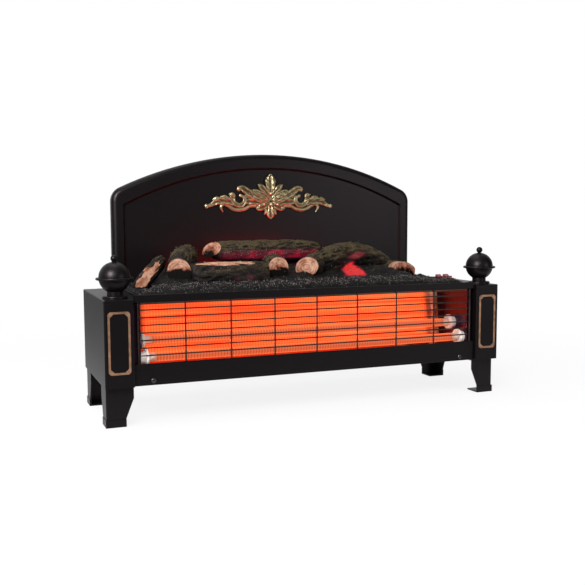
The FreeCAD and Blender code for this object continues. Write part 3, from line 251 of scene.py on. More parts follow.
def stained(name, colour, rough, metal, size, *tones):
    """A metal whose colour wanders in patches of so many mm."""
    made, tree, shader = material(name, colour, rough, metal)
    feed(tree, shader, Base_Color=toned(tree, grain(tree, size), *tones))
    return made


def antique_gold():
    """Cast ornament in pale antique gold: bright on the ribs, brown patina in the hollows."""
    made, tree, shader = material("antique_gold_casting", "#c9bb8e", 0.36, 0.7)
    worn = calc(tree, "MULTIPLY_ADD", grain(tree, 7.0), 0.35, attribute(tree, "rise"))
    feed(tree, shader, Base_Color=toned(
        tree, worn, (0.3, "#120b06"), (0.5, "#4a3d27"), (0.78, "#76684a"), (1.0, "#aca07c"),
    ))
    bumped(tree, shader, grain(tree, 2.0), 0.08, 0.4)
    return made


def bright_reflector():
    """Polished reflector sheet, toned copper partly by heat and partly as painted orange glow of the tubes: a
    mirror, softly blurred along its rolling grain.
    """
    made, tree, shader = material("copper_toned_painted_glow_reflector", "#f6c7b3", 0.1, 1.0)
    streak = grain(tree, 7.0, 3.0, (0.03, 1.0, 1.0))
    # the copper-pink tones are partly painted orange glow of the tubes
    feed(tree, shader, Base_Color=toned(tree, streak, (0.34, "#e89a86"), (0.5, "#f8bfa6"), (0.64, "#ffe0c4")))
    bumped(tree, shader, grain(tree, 0.5, 1.0, (0.02, 1.0, 1.0)), 0.01, 0.25)
    return made


def glowing_silica():
    """Milky silica tube lit by its coil: orange, yellower at the turns, brighter behind with painted light
    from the reflector, dark at its ends.
    """
    made, tree, shader = material("glowing_silica_tube", "#d9b8a4", 0.4)
    where = spot_in(tree)
    across = add(tree, "ShaderNodeSeparateXYZ", {"Vector": where}).outputs["X"]
    hot = spread(tree, calc(tree, "ABSOLUTE", across), HOT_END, COLD_END, TUBE_HEAT, 0.0, "SMOOTHSTEP")
    turns = add(tree, "ShaderNodeTexWave", {
        "Vector": where, "Scale": pi / (10.0 * COIL_PITCH * MM),
    }, bands_direction="X", wave_profile="SIN")
    facing = add(tree, "ShaderNodeSeparateXYZ", {"Vector": spot_in(tree, "Normal")})
    # painted reflector light: the glow is stronger on the side that faces the reflector
    rear = spread(tree, facing.outputs["Y"], -1.0, 1.0, FRONT_SHARE, REAR_SHARE)
    feed(
        tree, shader, Base_Color=blend(tree, hot, "#d9b8a4", "#3a1a10"),
        Emission_Color=toned(tree, turns, (0.1, "#f04f28"), (0.8, "#ff7f48")),
        Emission_Strength=calc(tree, "MULTIPLY", hot, rear),
    )
    return made


def zinc_sheet():
    """Zinc-coated sheet: grey with the soft patches of its crystals."""
    made, tree, shader = material("zinc_coated_steel", "#8f9294", 0.42, 0.8)
    patch = add(tree, "ShaderNodeTexVoronoi", {"Vector": spot_in(tree), "Scale": ZINC_PATCHES})
    feed(tree, shader, Base_Color=toned(tree, patch.outputs["Color"], (0.2, "#7f8284"), (0.8, "#a3a6a8")))
    return made


def painted_bark():
    """Resin bark: brown-black furrows, mossy olive on top partly as painted top light, grey ash on the
    ridges, and a painted red glow where thin.
    """
    made, tree, shader = material("painted_resin_bark", "#241d12", 0.66, Specular_IOR_Level=0.14)
    moss, char, ash, glow, ridge = (
        attribute(tree, name) for name in ("moss", "char", "ash", "glow", "ridge")
    )
    speck = grain(tree, 2.2, 4.0)
    # paler on ridges, mossy tops and the bed's upward faces, partly as painted top light
    raised = calc(tree, "MULTIPLY_ADD", ridge, 0.3, calc(tree, "MULTIPLY_ADD", moss, 0.5, speck))
    tone = toned(tree, raised, (0.5, "#050303"), (0.68, "#120c08"), (0.84, "#251c12"), (1.0, "#433924"))
    dust = spread(tree, grain(tree, 1.6, 3.0), 0.6, 0.74)
    pale = blend(tree, calc(tree, "MULTIPLY", dust, ash), tone, "#6f6a68")
    # painted red glow of the bark, standing in for the lamps' light through the moulding
    heat = toned(
        tree, calc(tree, "MULTIPLY", glow, 0.5),
        (0.0, "#000000"), (0.125, "#3a0a18"), (0.3, "#94122c"), (0.5, "#f23a34"), (0.6, "#ff0a12"),
    )
    feed(
        tree, shader, Base_Color=blend(tree, char, pale, "#070505"),
        Emission_Color=heat, Emission_Strength=spread(tree, glow, 1.0, 2.0, 1.0, BEAM),
    )
    bumped(tree, shader, speck, 0.7, 0.8)
    return made


def sawn_wood():
    """Painted sawn face: pink-tan wood with faint growth rings, toasted towards its black burnt edge."""
    made, tree, shader = material("painted_sawn_wood", "#c28f76", 0.7, Specular_IOR_Level=0.04)
    rings = add(tree, "ShaderNodeUVMap", uv_map="rings")
    wander = add(tree, "ShaderNodeTexNoise", {"Vector": rings, "Scale": 0.7, "Detail": 1.0})
    reach = add(tree, "ShaderNodeVectorMath", {0: rings}, operation="LENGTH").outputs["Value"]
    bent = calc(tree, "MULTIPLY_ADD", wander, RING_WANDER, reach)
    line = calc(tree, "SINE", calc(tree, "MULTIPLY", bent, RING_TURN))
    half = calc(tree, "MULTIPLY_ADD", line, 0.5, 0.5)
    mottled = calc(tree, "MULTIPLY_ADD", half, 0.2, grain(tree, 11.0, 2.0))
    tone = toned(tree, mottled, (0.4, "#87543f"), (0.6, "#ae8069"), (0.85, "#c49a83"))
    edge = calc(tree, "MULTIPLY_ADD", grain(tree, 5.0, 3.0), 0.7, attribute(tree, "char"))
    warm = blend(tree, spread(tree, edge, 0.36, 0.66), tone, "#74402f")
    feed(tree, shader, Base_Color=blend(tree, spread(tree, edge, 0.62, 0.78), warm, "#0b0706"))
    bumped(tree, shader, half, 0.08, 0.3)
    return made


def ash_flake():
    """Ash and splinter flakes: charcoal at the root, pale grey at the tip."""
    made, tree, shader = material("ash_flake", "#5d5856", 0.85, Specular_IOR_Level=0.2)
    level = calc(tree, "MULTIPLY", attribute(tree, "tip"), attribute(tree, "shade"))
    feed(tree, shader, Base_Color=toned(tree, level, (0.0, "#070505"), (0.3, "#2a2523"), (1.0, "#b9b0ad")))
    return made


# Satin black stove enamel: nearly black head on, pale sheen at a glance with a pink tint of painted warm
# light, faint orange peel
ENAMEL = fine_grained(
    "satin_black_stove_enamel", "#0a0809", 0.4, 1.6, 0.04, 0.5,
    Specular_IOR_Level=0.17, Specular_Tint=srgb("#fff0f5"),
)
# Nickel-plated wire dulled by heat: brown-grey, with a soft broad shine
WIRE = stained("heat_dulled_plated_wire", "#332b28", 0.42, 0.7, 14.0, (0.3, "#241d1b"), (0.7, "#40362f"))
# Drawn resistance wire at working heat: evenly orange
COIL = material(
    "glowing_resistance_wire", "#8a4a30", 0.5, 0.6, Emission_Color=srgb("#ff8a3c"), Emission_Strength=1.0,
)[0]
# Blackened screw steel: dark with a small hard shine
SCREW = material("blackened_screw_steel", "#4a4747", 0.3, 0.8)[0]
# End plates of the trough: polished steel browned by heat and painted darker for the shade deep in the
# trough, so its mirror is dim
END_LOOK = material("heat_browned_painted_shade_steel", "#4e364a", 0.28, 1.0)[0]
GOLD = antique_gold()
BARK = painted_bark()
SAWN = sawn_wood()
FLAKE = ash_flake()

# Slots of the frame and their materials
SLOT_LOOKS = {
    "black_enamel": ENAMEL,
    # Gilt beading: brownish gold wire line, slightly worn
    "gilt": stained("gilt_beading", "#9c7459", 0.4, 0.6, 9.0, (0.3, "#7a5a44"), (0.7, "#ac8368")),
    "antique_gold": GOLD,
    "polished_reflector": bright_reflector(),
    "guard_wire": WIRE,
    "silica": glowing_silica(),
    "resistance_wire": COIL,
    # Unglazed white steatite: matt, a little dusty
    "ceramic_white": fine_grained("unglazed_steatite", "#ebdfd8", 0.62, 0.8, 0.04),
    "zinc_steel": zinc_sheet(),
    "dark_screw": SCREW,
    "ember_resin": BARK,
    "log_resin": BARK,
    # Fireglow lamp: red lacquered glass, glossy, lit from within
    "lamp_glass": material(
        "red_lacquered_lamp_glass", "#b3261c", 0.12, Emission_Color=srgb("#c8301c"), Emission_Strength=0.6,
    )[0],
    # Spun brass, warm yellow, and rolled aluminium foil, bright and cool
    "lamp_brass": material("lamp_cap_brass", "#b59a58", 0.3, 1.0)[0],
    "spinner_foil": material("spinner_aluminium_foil", "#c9c9c8", 0.25, 1.0)[0],
    # Mouldings with the slight grain of their dies, the rubber matt and the rockers glossy
    "holder_plastic": fine_grained("ivory_holder_moulding", "#d8d2c4", 0.45, 0.9, 0.03, 0.5),
    "switch_black": fine_grained("gloss_black_moulding", "#161415", 0.3, 0.9, 0.03, 0.5),
    "bush_rubber": fine_grained("black_rubber", "#1a1919", 0.7, 0.9, 0.03, 0.5),
    "rocker_red": material("red_rocker_moulding", "#7a0e1c", 0.22)[0],
}

for shape in bpy.data.objects:
    for piece in shape.material_slots:
        slot_name = piece.material.name.split(".")[0] if piece.material else ""
        if slot_name in SLOT_LOOKS:
            piece.material = SLOT_LOOKS[slot_name]
for end_name in ("reflector_end_left", "reflector_end_right"):
    bpy.data.objects[end_name].material_slots[0].material = END_LOOK


def keep(name, mesh, body, slot, looks, *nodes):
    """An object of a finished mesh, riding on a body and standing in for frame nodes."""
    shape = shown(name, mesh)
    for look in looks:
        if look.name not in mesh.materials:
            mesh.materials.append(look)
    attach(shape, body)
    for node in nodes:
        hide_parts(node)
    return shape


def painted(mesh, **fields):
    """Write point attributes from functions of a place in mm."""
    for name, field in fields.items():
        layer = mesh.attributes.new(name, "FLOAT", "POINT")
        values = [
            field(v.co.x / MM, v.co.y / MM - COLUMN_FACE_Y, v.co.z / MM, v.normal.z) for v in mesh.vertices
        ]
        layer.data.foreach_set("value", values)


# Painted glow, ash, and moss partly as painted top light over the bed and the logs, in mm; four numbers are
# the span of a hump

GLOW_END = (125.0, 115.0)  # depths between which the glow of the right log ends
# Main patch on the right log: its middle, lean, half width with its taper, and the heights it spans
WINDOW_X, WINDOW_UP, WINDOW_LEAN = 92.0, 205.0, 0.25
WINDOW_HALF, WINDOW_TAPER, WINDOW_FOOT = 25.0, 0.4, 197.0
WINDOW_FULL, WINDOW_RISE, WINDOW_SILL = 200.0, 24.0, (195.0, 199.0)
# Fainter streak above it
ARM_X, ARM_UP, ARM_LEAN, ARM_HALF, ARM_RISE, ARM_GLOW = 106.0, 228.0, 1.2, 22.0, 9.0, 0.46
# Painted glow of the rear log's far side and near side, of the front log's foot and of the bed's open rear
HIDDEN_BACK = (154.0, 160.0)
HIDDEN_X, HIDDEN_UP = (-150.0, -132.0, 30.0, 66.0), (224.0, 230.0, 241.0, 247.0)
BAND_BACK = (112.0, 122.0)
BAND_X, BAND_UP = (-120.0, -108.0, 50.0, 62.0), (222.0, 227.0, 236.0, 241.0)
LOW_GLOW = 0.34
LOW_X, LOW_UP = (-118.0, -105.0, -52.0, -40.0), (193.0, 198.0, 203.0, 208.0)
BEAM_X, BEAM_BACK = (-186.0, -172.0, 90.0, 150.0), (166.0, 176.0, 192.0, 196.0)
# Ash on the front lip and on the rear log
LIP_BACK, LIP_UP = (14.0, 24.0, 46.0, 62.0), (199.0, 193.0)
ASH_BACK = (108.0, 118.0)
ASH_X, ASH_UP = (-118.0, -104.0, 50.0, 64.0), (222.0, 228.0, 236.0, 244.0)
# Moss, partly painted top light, by height and by the tilt of the face, and where it thins out on the front
# log
MOSS_UP, MOSS_TILT = (190.0, 222.0), (-0.3, 0.9)
THIN_BACK, THIN_X = (106.0, 94.0), (-48.0, -58.0)


def patches(x, back, up, size, seed):
    """Seeded noise from 0 to 1 with its grain in mm."""
    return 0.5 + 0.5 * noise.noise(Vector((x / size + seed, back / size, up / size)))


def glow_field(x, back, up, facing):
    """How strong the painted glow is that stands in for the lamps shining through the thin places of the
    moulding.
    """
    patch = patches(x, back, up, 12.0, 3.0)
    before = ramp(back, *GLOW_END)
    lean = x - WINDOW_X - WINDOW_LEAN * (up - WINDOW_UP)
    half = WINDOW_HALF - WINDOW_TAPER * (up - WINDOW_FOOT)
    away = hypot(lean / half, max(up - WINDOW_FULL, 0.0) / WINDOW_RISE)
    window = ramp(1.0 - away + 0.5 * (patch - 0.5), 0.0, 0.42) * before * ramp(up, *WINDOW_SILL)
    rise = up - ARM_UP
    arm = 1.0 - hypot((x - ARM_X - ARM_LEAN * rise) / ARM_HALF, rise / ARM_RISE)
    hidden = ramp(back, *HIDDEN_BACK) * between(up, HIDDEN_UP) * between(x, HIDDEN_X)
    band = ramp(back, *BAND_BACK) * between(up, BAND_UP) * between(x, BAND_X)
    low = between(x, LOW_X) * between(up, LOW_UP)
    # painted glow level, standing in for the lamps' light through the moulding
    heat = max(
        window, ARM_GLOW * ramp(arm, 0.0, 0.6) * before, REAR_GLOW * hidden,
        band * (0.36 + 0.28 * ramp(patch, 0.4, 0.75)), low * ramp(patch, 0.45, 0.75) * LOW_GLOW,
    )
    heat *= 0.75 + 0.25 * patches(x, back, up, 3.0, 8.0)
    beam = 2.0 * between(back, BEAM_BACK) * between(x, BEAM_X)
    return max(heat, beam * ramp(patch, 0.25, 0.5))


def ash_field(x, back, up, facing):
    """Where grey ash lies: the front lip and the foot of the rear log."""
    lip = between(back, LIP_BACK) * ramp(up, *LIP_UP)
    band = ramp(back, *ASH_BACK) * between(up, ASH_UP) * between(x, ASH_X)
    return max(lip, 0.9 * band, 0.12 + 0.25 * patches(x, back, up, 20.0, 5.0))


def moss_field(x, back, up, facing):
    """Olive mossy tone, partly painted top light: on the upward faces of the logs, thinner on the front one.
    """
    thin = 1.0 - 0.45 * ramp(back, *THIN_BACK) * ramp(x, *THIN_X)
    patch = 0.35 + 0.65 * patches(x, back, up, 16.0, 1.0)
    return thin * ramp(facing, *MOSS_TILT) * patch * ramp(up, *MOSS_UP)


# Ember bed: a rubble mound from a height field, given its moulded thickness

BED_HALF, BED_FRONT, BED_REAR = 267.8, 7.8, 199.6
BED_GRID, BED_SKIN = 2.2, 2.4
RUBBLE_SIZE = 9.0  # mm across a lump of the rubble
RUBBLE_HEIGHT = 2.2
RUBBLE_JOINT, RUBBLE_SUNK = 0.5, 0.6  # width of the joints between lumps, and share that they sink
GRIT_SIZE = 3.6  # mm across the grit on it
GRIT_HEIGHT = 0.8
FLANGE_TOP = CASING_TOP + 3.0
HEAP_SLOPE = ((17.6, 187.0), (49.6, 195.0), (93.6, 211.0), (159.8, 215.0), (199.8, 204.0))
HEAP_ENDS = (
    (-261.6, 187.0), (-237.6, 187.0), (-185.6, 215.0), (151.6, 215.0), (203.6, 187.0), (261.6, 187.0),
)
HEAP_EDGE_X = (261.4, 258.8)  # mm from the middle over which the heap starts
HEAP_EDGE_BACK = (17.4, 20.0, 197.4, 199.6)  # and in depth
LUMP_ROWS, LUMP_COLUMNS = 4, 12
LUMP_RADIUS, LUMP_HEIGHT = 30.0, 3.0
SOOT_UP = (210.0, 188.0)  # heights between which the embers turn blacker


def height_on(line, spot):
    """Height on a broken line, level beyond its ends."""
    for (first, low), (last, high) in zip(line, line[1:]):
        if spot <= last:
            return low + (high - low) * max(spot - first, 0.0) / (last - first)
    return line[-1][1]


def heap_lumps():
    """The heap's main lumps as x, depth and height of a ball's middle."""
    deep = (HEAP_SLOPE[-1][0] - HEAP_SLOPE[0][0]) / LUMP_ROWS
    wide = (HEAP_ENDS[-1][0] - HEAP_ENDS[0][0]) / LUMP_COLUMNS
    lumps = []
    for row in range(LUMP_ROWS):
        back = HEAP_SLOPE[0][0] + deep * (row + 0.5)
        for column in range(LUMP_COLUMNS):
            x = HEAP_ENDS[0][0] + wide * (column + (0.25 if row % 2 else 0.75))
            top = min(height_on(HEAP_SLOPE, back), height_on(HEAP_ENDS, x)) + LUMP_HEIGHT
            lumps.append((x, back, top - LUMP_RADIUS))
    return lumps


LUMPS = heap_lumps()


def bed_height(x, back):
    """Height of the heap in mm: its slopes, its lumps and the rubble over both."""
    height = min(height_on(HEAP_SLOPE, back), height_on(HEAP_ENDS, x))
    for lump_x, lump_back, lump_up in LUMPS:
        near = LUMP_RADIUS ** 2 - (x - lump_x) ** 2 - (back - lump_back) ** 2
        if near > 0.0:
            height = max(height, lump_up + sqrt(near))
    edge = ramp(abs(x), *HEAP_EDGE_X) * between(back, HEAP_EDGE_BACK)
    close, far = noise.voronoi(Vector((x / RUBBLE_SIZE, back / RUBBLE_SIZE, 0.0)))[0][:2]
    grit = GRIT_HEIGHT * noise.noise(Vector((x / GRIT_SIZE, back / GRIT_SIZE, 2.0)))
    rubble = RUBBLE_HEIGHT * (ramp(far - close, 0.0, RUBBLE_JOINT) - RUBBLE_SUNK) + grit
    return FLANGE_TOP + max(height + rubble - FLANGE_TOP, 0.0) * edge


def ember_char(x, back, up, facing):
    """How black the embers are: most of all low down."""
    return 0.74 + 0.14 * ramp(up, *SOOT_UP) + 0.2 * patches(x, back, up, 9.0, 4.0)


def make_bed():
    """The bed's rubble as one closed skin."""
    columns = int(2 * BED_HALF / BED_GRID)
    rows = int((BED_REAR - BED_FRONT) / BED_GRID)
    wide = columns + 1
    across = [-BED_HALF + 2 * BED_HALF * i / columns for i in range(wide)]
    depths = [BED_FRONT + (BED_REAR - BED_FRONT) * j / rows for j in range(rows + 1)]
    points = [place(x, back, bed_height(x, back)) for back in depths for x in across]
    corners = [j * wide + i for j in range(rows) for i in range(columns)]
    mesh = bpy.data.meshes.new("ember_rubble")
    mesh.from_pydata(points, [], [(a, a + 1, a + wide + 1, a + wide) for a in corners])
    mesh.update()
    mesh.shade_smooth()
    painted(
        mesh, glow=glow_field, ash=ash_field, moss=moss_field, char=ember_char,
        # the bed's upward faces are made paler: painted top light
        ridge=lambda x, back, up, facing: 0.6 * ramp(facing, 0.4, 1.0),
    )
    bed = keep("ember_rubble", mesh, "log_bed", "ember_resin", [BARK], "ember_bed")
    shell = bed.modifiers.new("skin", "SOLIDIFY")
    shell.thickness = BED_SKIN * MM
    shell.offset = -1.0
    return bed


# Logs: noisy tubes along a spine, sawn by planes

RING_SIDES = 72
RING_STEP = 2.2
ACROSS = 0.5  # a saw counts as crosswise when its normal is this much along the log
RIM_SPAN = (-2.0, 9.0)  # mm from a cut over which the bark gains its full relief
OVAL, OVAL_RUN = 0.05, 40.0  # share by which a log is out of round, and mm in which this turns
BARK_GRAINS = ((4.2, 17.0, 0.0), (11.0, 26.0, 40.0), (1.7, 4.0, 80.0))  # mm across and along, and a shift
FURROW_DEPTH, FURROW_STEEP = 2.1, 2.4  # mm, and how sharply the furrows are cut
PLATE_DEPTH, FINE_DEPTH, BARK_SUNK = 1.7, 0.6, 1.1
RIDGE_SPAN = 3.2  # mm of relief between the dark furrows and the pale ridges
CHAR_SPAN = (6.0, -5.0) # mm about a log's char line over which its foot turns black
GROWTH_UNIT = 10.0  # mm in one unit of the growth rings' coordinates


def smooth_path(points, step):
    """Places at an even step along a smooth curve through points of any width of row."""
    rows = [Vector(p) for p in points]
    ends = [rows[0] * 2 - rows[1]] + rows + [rows[-1] * 2 - rows[-2]]
    path = []
    for a, b, c, d in zip(ends, ends[1:], ends[2:], ends[3:]):
        count = max(2, int((c.to_3d() - b.to_3d()).length / step))
        for k in range(count):
            t = k / count
            spot = 2 * b + (c - a) * t + (2 * a - 5 * b + 4 * c - d) * t * t
            path.append(0.5 * (spot + (3 * b - a - 3 * c + d) * t ** 3))
    path.append(rows[-1])
    return path


def bark_height(angle, run, girth, seed):
    """Bark relief in mm at a place round and along a log: furrows between plates, and a fine grain."""
    ring = Vector((cos(angle), sin(angle), 0.0)) * girth
    furrow, plate, fine = (
        noise.noise(Vector((ring.x / across, ring.y / across, run / along + seed + shift)))
        for across, along, shift in BARK_GRAINS
    )
    cut = FURROW_DEPTH * (1.0 - FURROW_STEEP * abs(furrow))
    return cut + PLATE_DEPTH * plate + FINE_DEPTH * fine - BARK_SUNK


def dressed_rim(spot, aim, saws):
    """Share of the bark relief that is left near a saw cut across the log, where the rim is smooth."""
    share = 1.0
    for point, normal in saws:
        way = Vector(normal).normalized()
        if abs(way.dot(aim)) > ACROSS:
            share = min(share, ramp(abs((spot - Vector(point)).dot(way)), *RIM_SPAN))
    return share


def heading(centres, index):
    """The way along a run of places at one of them."""
    return (centres[min(index + 1, len(centres) - 1)] - centres[max(index - 1, 0)]).normalized()


def make_log(name, spine, saws, seed, char_line):
    """A log along (x, back, up, girth) rows, cut by saws of (point, normal), with rings on the cuts."""
    path = smooth_path(spine, RING_STEP)
    build = bmesh.new()
    ridge = build.verts.layers.float.new("ridge")
    centres = [Vector(p[:3]) for p in path]
    side = heading(centres, 0).cross(Vector((0.0, 0.0, 1.0))).normalized()
    rings = []
    run = 0.0
    for index, centre in enumerate(centres):
        aim = heading(centres, index)
        side = (side - aim * side.dot(aim)).normalized()
        over = side.cross(aim)
        run += (centre - centres[max(index - 1, 0)]).length
        girth = path[index][3]
        ring = []
        for angle in around(RING_SIDES):
            way = side * cos(angle) + over * sin(angle)
            relief = bark_height(angle, run, girth, seed) * dressed_rim(centre + way * girth, aim, saws)
            radius = girth * (1.0 + OVAL * sin(2 * angle + seed + run / OVAL_RUN)) + relief
            ring.append(build.verts.new(place(*(centre + way * radius))))
            ring[-1][ridge] = min(max(0.5 + relief / RIDGE_SPAN, 0.0), 1.0)
        rings.append(ring)
    for near, far in zip(rings, rings[1:]):
        for k in range(RING_SIDES):
            following = (k + 1) % RING_SIDES
            build.faces.new((near[k], far[k], far[following], near[following]))
    build.faces.new(rings[0])
    build.faces.new(list(reversed(rings[-1])))
    bmesh.ops.recalc_face_normals(build, faces=build.faces)
    growth = build.loops.layers.uv.new("rings")
    for point, normal in saws:
        cut_place = place(*point)
        cut_way = Vector(normal).normalized()
        cut = bmesh.ops.bisect_plane(
            build, geom=build.verts[:] + build.edges[:] + build.faces[:], dist=1e-6,
            plane_co=cut_place, plane_no=cut_way, clear_outer=True,
        )
        rim = [e for e in cut["geom_cut"] if isinstance(e, bmesh.types.BMEdge)]
        nearest = min(range(len(centres)), key=lambda i: (place(*centres[i]) - cut_place).length)
        aim = heading(centres, nearest)
        first = aim.orthogonal().normalized()
        second = aim.cross(first)
        pith = place(*centres[nearest])
        for face in bmesh.ops.holes_fill(build, edges=rim, sides=0)["faces"]:
            face.normal_update()
            if face.normal.dot(cut_way) < 0:
                face.normal_flip()
            face.material_index = 1
            for part in bmesh.ops.triangulate(build, faces=[face])["faces"]:
                part.material_index = 1
                for corner in part.loops:
                    away = (corner.vert.co - pith) / (GROWTH_UNIT * MM)
                    corner[growth].uv = (away.dot(first), away.dot(second))
    mesh = settled(build, name)
    for face in mesh.polygons:
        face.use_smooth = face.material_index == 0
    painted(
        mesh, glow=glow_field, ash=ash_field, moss=moss_field,
        char=lambda x, back, up, facing: ramp(up - char_line, *CHAR_SPAN),
    )
    return keep(name + "_bark", mesh, "log_bed", "log_resin", [BARK, SAWN], name)


LOGS = {
    "log_left_end": (
        ((-257, 89, 186, 8), (-249, 91, 193, 10), (-234, 96, 208, 11.4), (-219, 101, 223, 10),
         (-212, 103, 230, 6)),
        (((-234.5, 86.6, 209.6), (-0.10, -0.95, 0.27)), ((-241.0, 91.8, 216.4), (-0.62, -0.30, 0.72))),
        11.0, 178.0,
    ),
    "log_left": (
        ((-199, 60, 209, 17.5), (-192, 84, 214, 19), (-178, 118, 223, 21), (-165, 152, 226, 21),
         (-160, 166, 226, 15)),
        (((-196, 70, 214), (-0.22, -0.97, 0.12)),),
        22.0, 210.0,
    ),
    "log_rear": (
        ((-150, 133, 239, 9), (-126, 138, 239.5, 12.5), (-100, 142, 236, 16.6), (-20, 148, 234, 18),
         (46, 151, 233.5, 17.6), (76, 153, 228, 13)),
        (((-126, 137, 241), (-0.62, -0.62, 0.46)), ((70, 150, 234), (0.86, -0.2, 0.5))),
        33.0, 230.0,
    ),
    "log_front": (
        ((-177, 75, 201, 19), (-166, 75, 202, 22), (-118, 74, 202.6, 22.8), (-80, 73, 202, 22),
         (-58, 72, 201, 19)),
        (((-117, 78, 224.6), (0.0, -0.25, 0.97)),),
        44.0, 197.0,
    ),
    "log_stub": (
        ((-42, 55, 209, 18), (-38, 84, 213, 17.4), (-32, 124, 218, 14.5)),
        (((-39, 66, 214), (0.05, -0.98, 0.16)),),
        55.0, 208.5,
    ),
    "log_right": (
        ((-4, 62, 208, 14), (12, 72, 213, 15), (57, 95, 220, 21), (108, 113, 226, 22.4),
         (152, 121, 217, 20), (182, 124, 203, 14)),
        (((8, 70, 213.5), (-0.42, -0.90, 0.1)),),
        66.0, 195.0,
    ),
    "log_right_end": (
        ((214, 88, 200, 15), (190, 104, 201, 15.4), (158, 122, 203, 14), (130, 139, 205, 11)),
        (((195, 99, 200), (0.06, -0.99, 0.12)),),
        77.0, 190.0,
    ),
}


# Geometry Nodes

def new_tree(name, sockets):
    """An empty tree with named inputs; returns it with their sockets and its output node."""
    tree = bpy.data.node_groups.new(name, "GeometryNodeTree")
    tree.interface.new_socket("Geometry", in_out="INPUT", socket_type="NodeSocketGeometry")
    for label, kind in sockets:
        tree.interface.new_socket(label, in_out="INPUT", socket_type="NodeSocket" + kind)
    tree.interface.new_socket("Geometry", in_out="OUTPUT", socket_type="NodeSocketGeometry")
    return tree, tree.nodes.new("NodeGroupInput").outputs, tree.nodes.new("NodeGroupOutput")


def finish_tree(tree, outlet, pieces, look):
    """Join the pieces, realize the instances and set the material."""
    joined = add(tree, "GeometryNodeJoinGeometry")
    for piece in pieces:
        join(tree, piece, joined.inputs[0])
    solid = add(tree, "GeometryNodeRealizeInstances", {"Geometry": joined})
    feed(tree, outlet, Geometry=add(tree, "GeometryNodeSetMaterial", {"Geometry": solid, "Material": look}))


def grown(name, tree, ground=None, **values):
    """The plain mesh that a tree makes on a ground mesh, or on one point."""
    if ground is None:
        ground = bpy.data.meshes.new(name + "_point")
        ground.from_pydata([(0.0, 0.0, 0.0)], [], [])
    carrier = shown(name + "_carrier", ground)
    maker = carrier.modifiers.new("maker", "NODES")
    maker.node_group = tree
    for item in tree.interface.items_tree:
        if item.item_type == "SOCKET" and item.in_out == "INPUT" and item.name in values:
            maker[item.identifier] = values[item.name]
    graph = bpy.context.evaluated_depsgraph_get()
    mesh = bpy.data.meshes.new_from_object(
        carrier.evaluated_get(graph), preserve_all_data_layers=True, depsgraph=graph,
    )
    mesh.name = name
    bpy.data.objects.remove(carrier)
    return mesh


# Fireguard: welded upright and cross wires

GUARD_HALF, GUARD_LOW, GUARD_HIGH = 271.7, 80.0, 178.6
GUARD_UPRIGHTS, GUARD_CROSSES = 9, 7
CROSS_FIRST, CROSS_STEP = 98.75, 10.75
UPRIGHT_BACK, CROSS_BACK = 8.6, 10.4
UPRIGHT_GIRTH, CROSS_GIRTH, NUGGET_GIRTH = 1.2, 1.0, 1.1
WIRE_SIDES = 14


def guard_tree():
    """Lines of wires with a weld nugget at each crossing."""
    tree, given, outlet = new_tree("fireguard_wires", (
        ("Uprights", "Int"), ("Crosses", "Int"), ("First Upright", "Vector"), ("Upright Step", "Vector"),
        ("First Cross", "Vector"), ("Cross Step", "Vector"), ("Upright Length", "Float"),
        ("Cross Length", "Float"), ("Upright Girth", "Float"), ("Cross Girth", "Float"),
        ("First Weld", "Vector"),
    ))

    def line(kind, count, start):
        """Points at the wires of a kind."""
        return add(tree, "GeometryNodeMeshLine", {
            "Count": given[count], "Start Location": start, "Offset": given[kind + " Step"],
        })

    def wire(kind):
        """One wire of a kind, upright."""
        return add(tree, "GeometryNodeMeshCylinder", {
            "Vertices": WIRE_SIDES, "Radius": given[kind + " Girth"], "Depth": given[kind + " Length"],
        })

    def set_on(points, piece, turn=(0.0, 0.0, 0.0)):
        """The piece at each point."""
        return add(tree, "GeometryNodeInstanceOnPoints", {
            "Points": points, "Instance": piece, "Rotation": turn,
        })

    standing = set_on(line("Upright", "Uprights", given["First Upright"]), wire("Upright"))
    lying = set_on(line("Cross", "Crosses", given["First Cross"]), wire("Cross"), (0.0, pi / 2, 0.0))
    nugget = add(tree, "GeometryNodeMeshIcoSphere", {"Radius": NUGGET_GIRTH * MM, "Subdivisions": 2})
    stack = set_on(line("Cross", "Crosses", (0.0, 0.0, 0.0)), nugget)
    welds = set_on(line("Upright", "Uprights", given["First Weld"]), stack)
    finish_tree(tree, outlet, (standing, lying, welds), WIRE)
    return tree


def make_guard():
    """The fireguard's wires."""
    step = 2 * GUARD_HALF / (GUARD_UPRIGHTS - 1) * MM
    middle = (GUARD_LOW + GUARD_HIGH) / 2
    mesh = grown("fireguard_wires", guard_tree(), **{
        "Uprights": GUARD_UPRIGHTS, "Crosses": GUARD_CROSSES,
        "First Upright": place(-GUARD_HALF, UPRIGHT_BACK, middle), "Upright Step": (step, 0.0, 0.0),
        "First Cross": place(0.0, CROSS_BACK, CROSS_FIRST), "Cross Step": (0.0, 0.0, CROSS_STEP * MM),
        "Upright Length": (GUARD_HIGH - GUARD_LOW) * MM, "Cross Length": 2 * GUARD_HALF * MM,
        "Upright Girth": UPRIGHT_GIRTH * MM, "Cross Girth": CROSS_GIRTH * MM,
        "First Weld": place(-GUARD_HALF, (UPRIGHT_BACK + CROSS_BACK) / 2, CROSS_FIRST),
    })
    mesh.shade_smooth()
    mesh.set_sharp_from_angle(angle=radians(50))
    keep("fireguard_wires", mesh, "chassis", "guard_wire", [WIRE], "fireguard")


# Resistance coils

COIL_HALF = 247.6
COIL_GIRTH = 3.2
COIL_WIRE = 0.4
COIL_TURNS = 110
COIL_STEPS = 12  # points in a turn
COIL_SIDES = 6
COIL_PLACES = {"heating_coil_upper": (50.5, 115.0), "heating_coil_lower": (23.5, 94.0)}


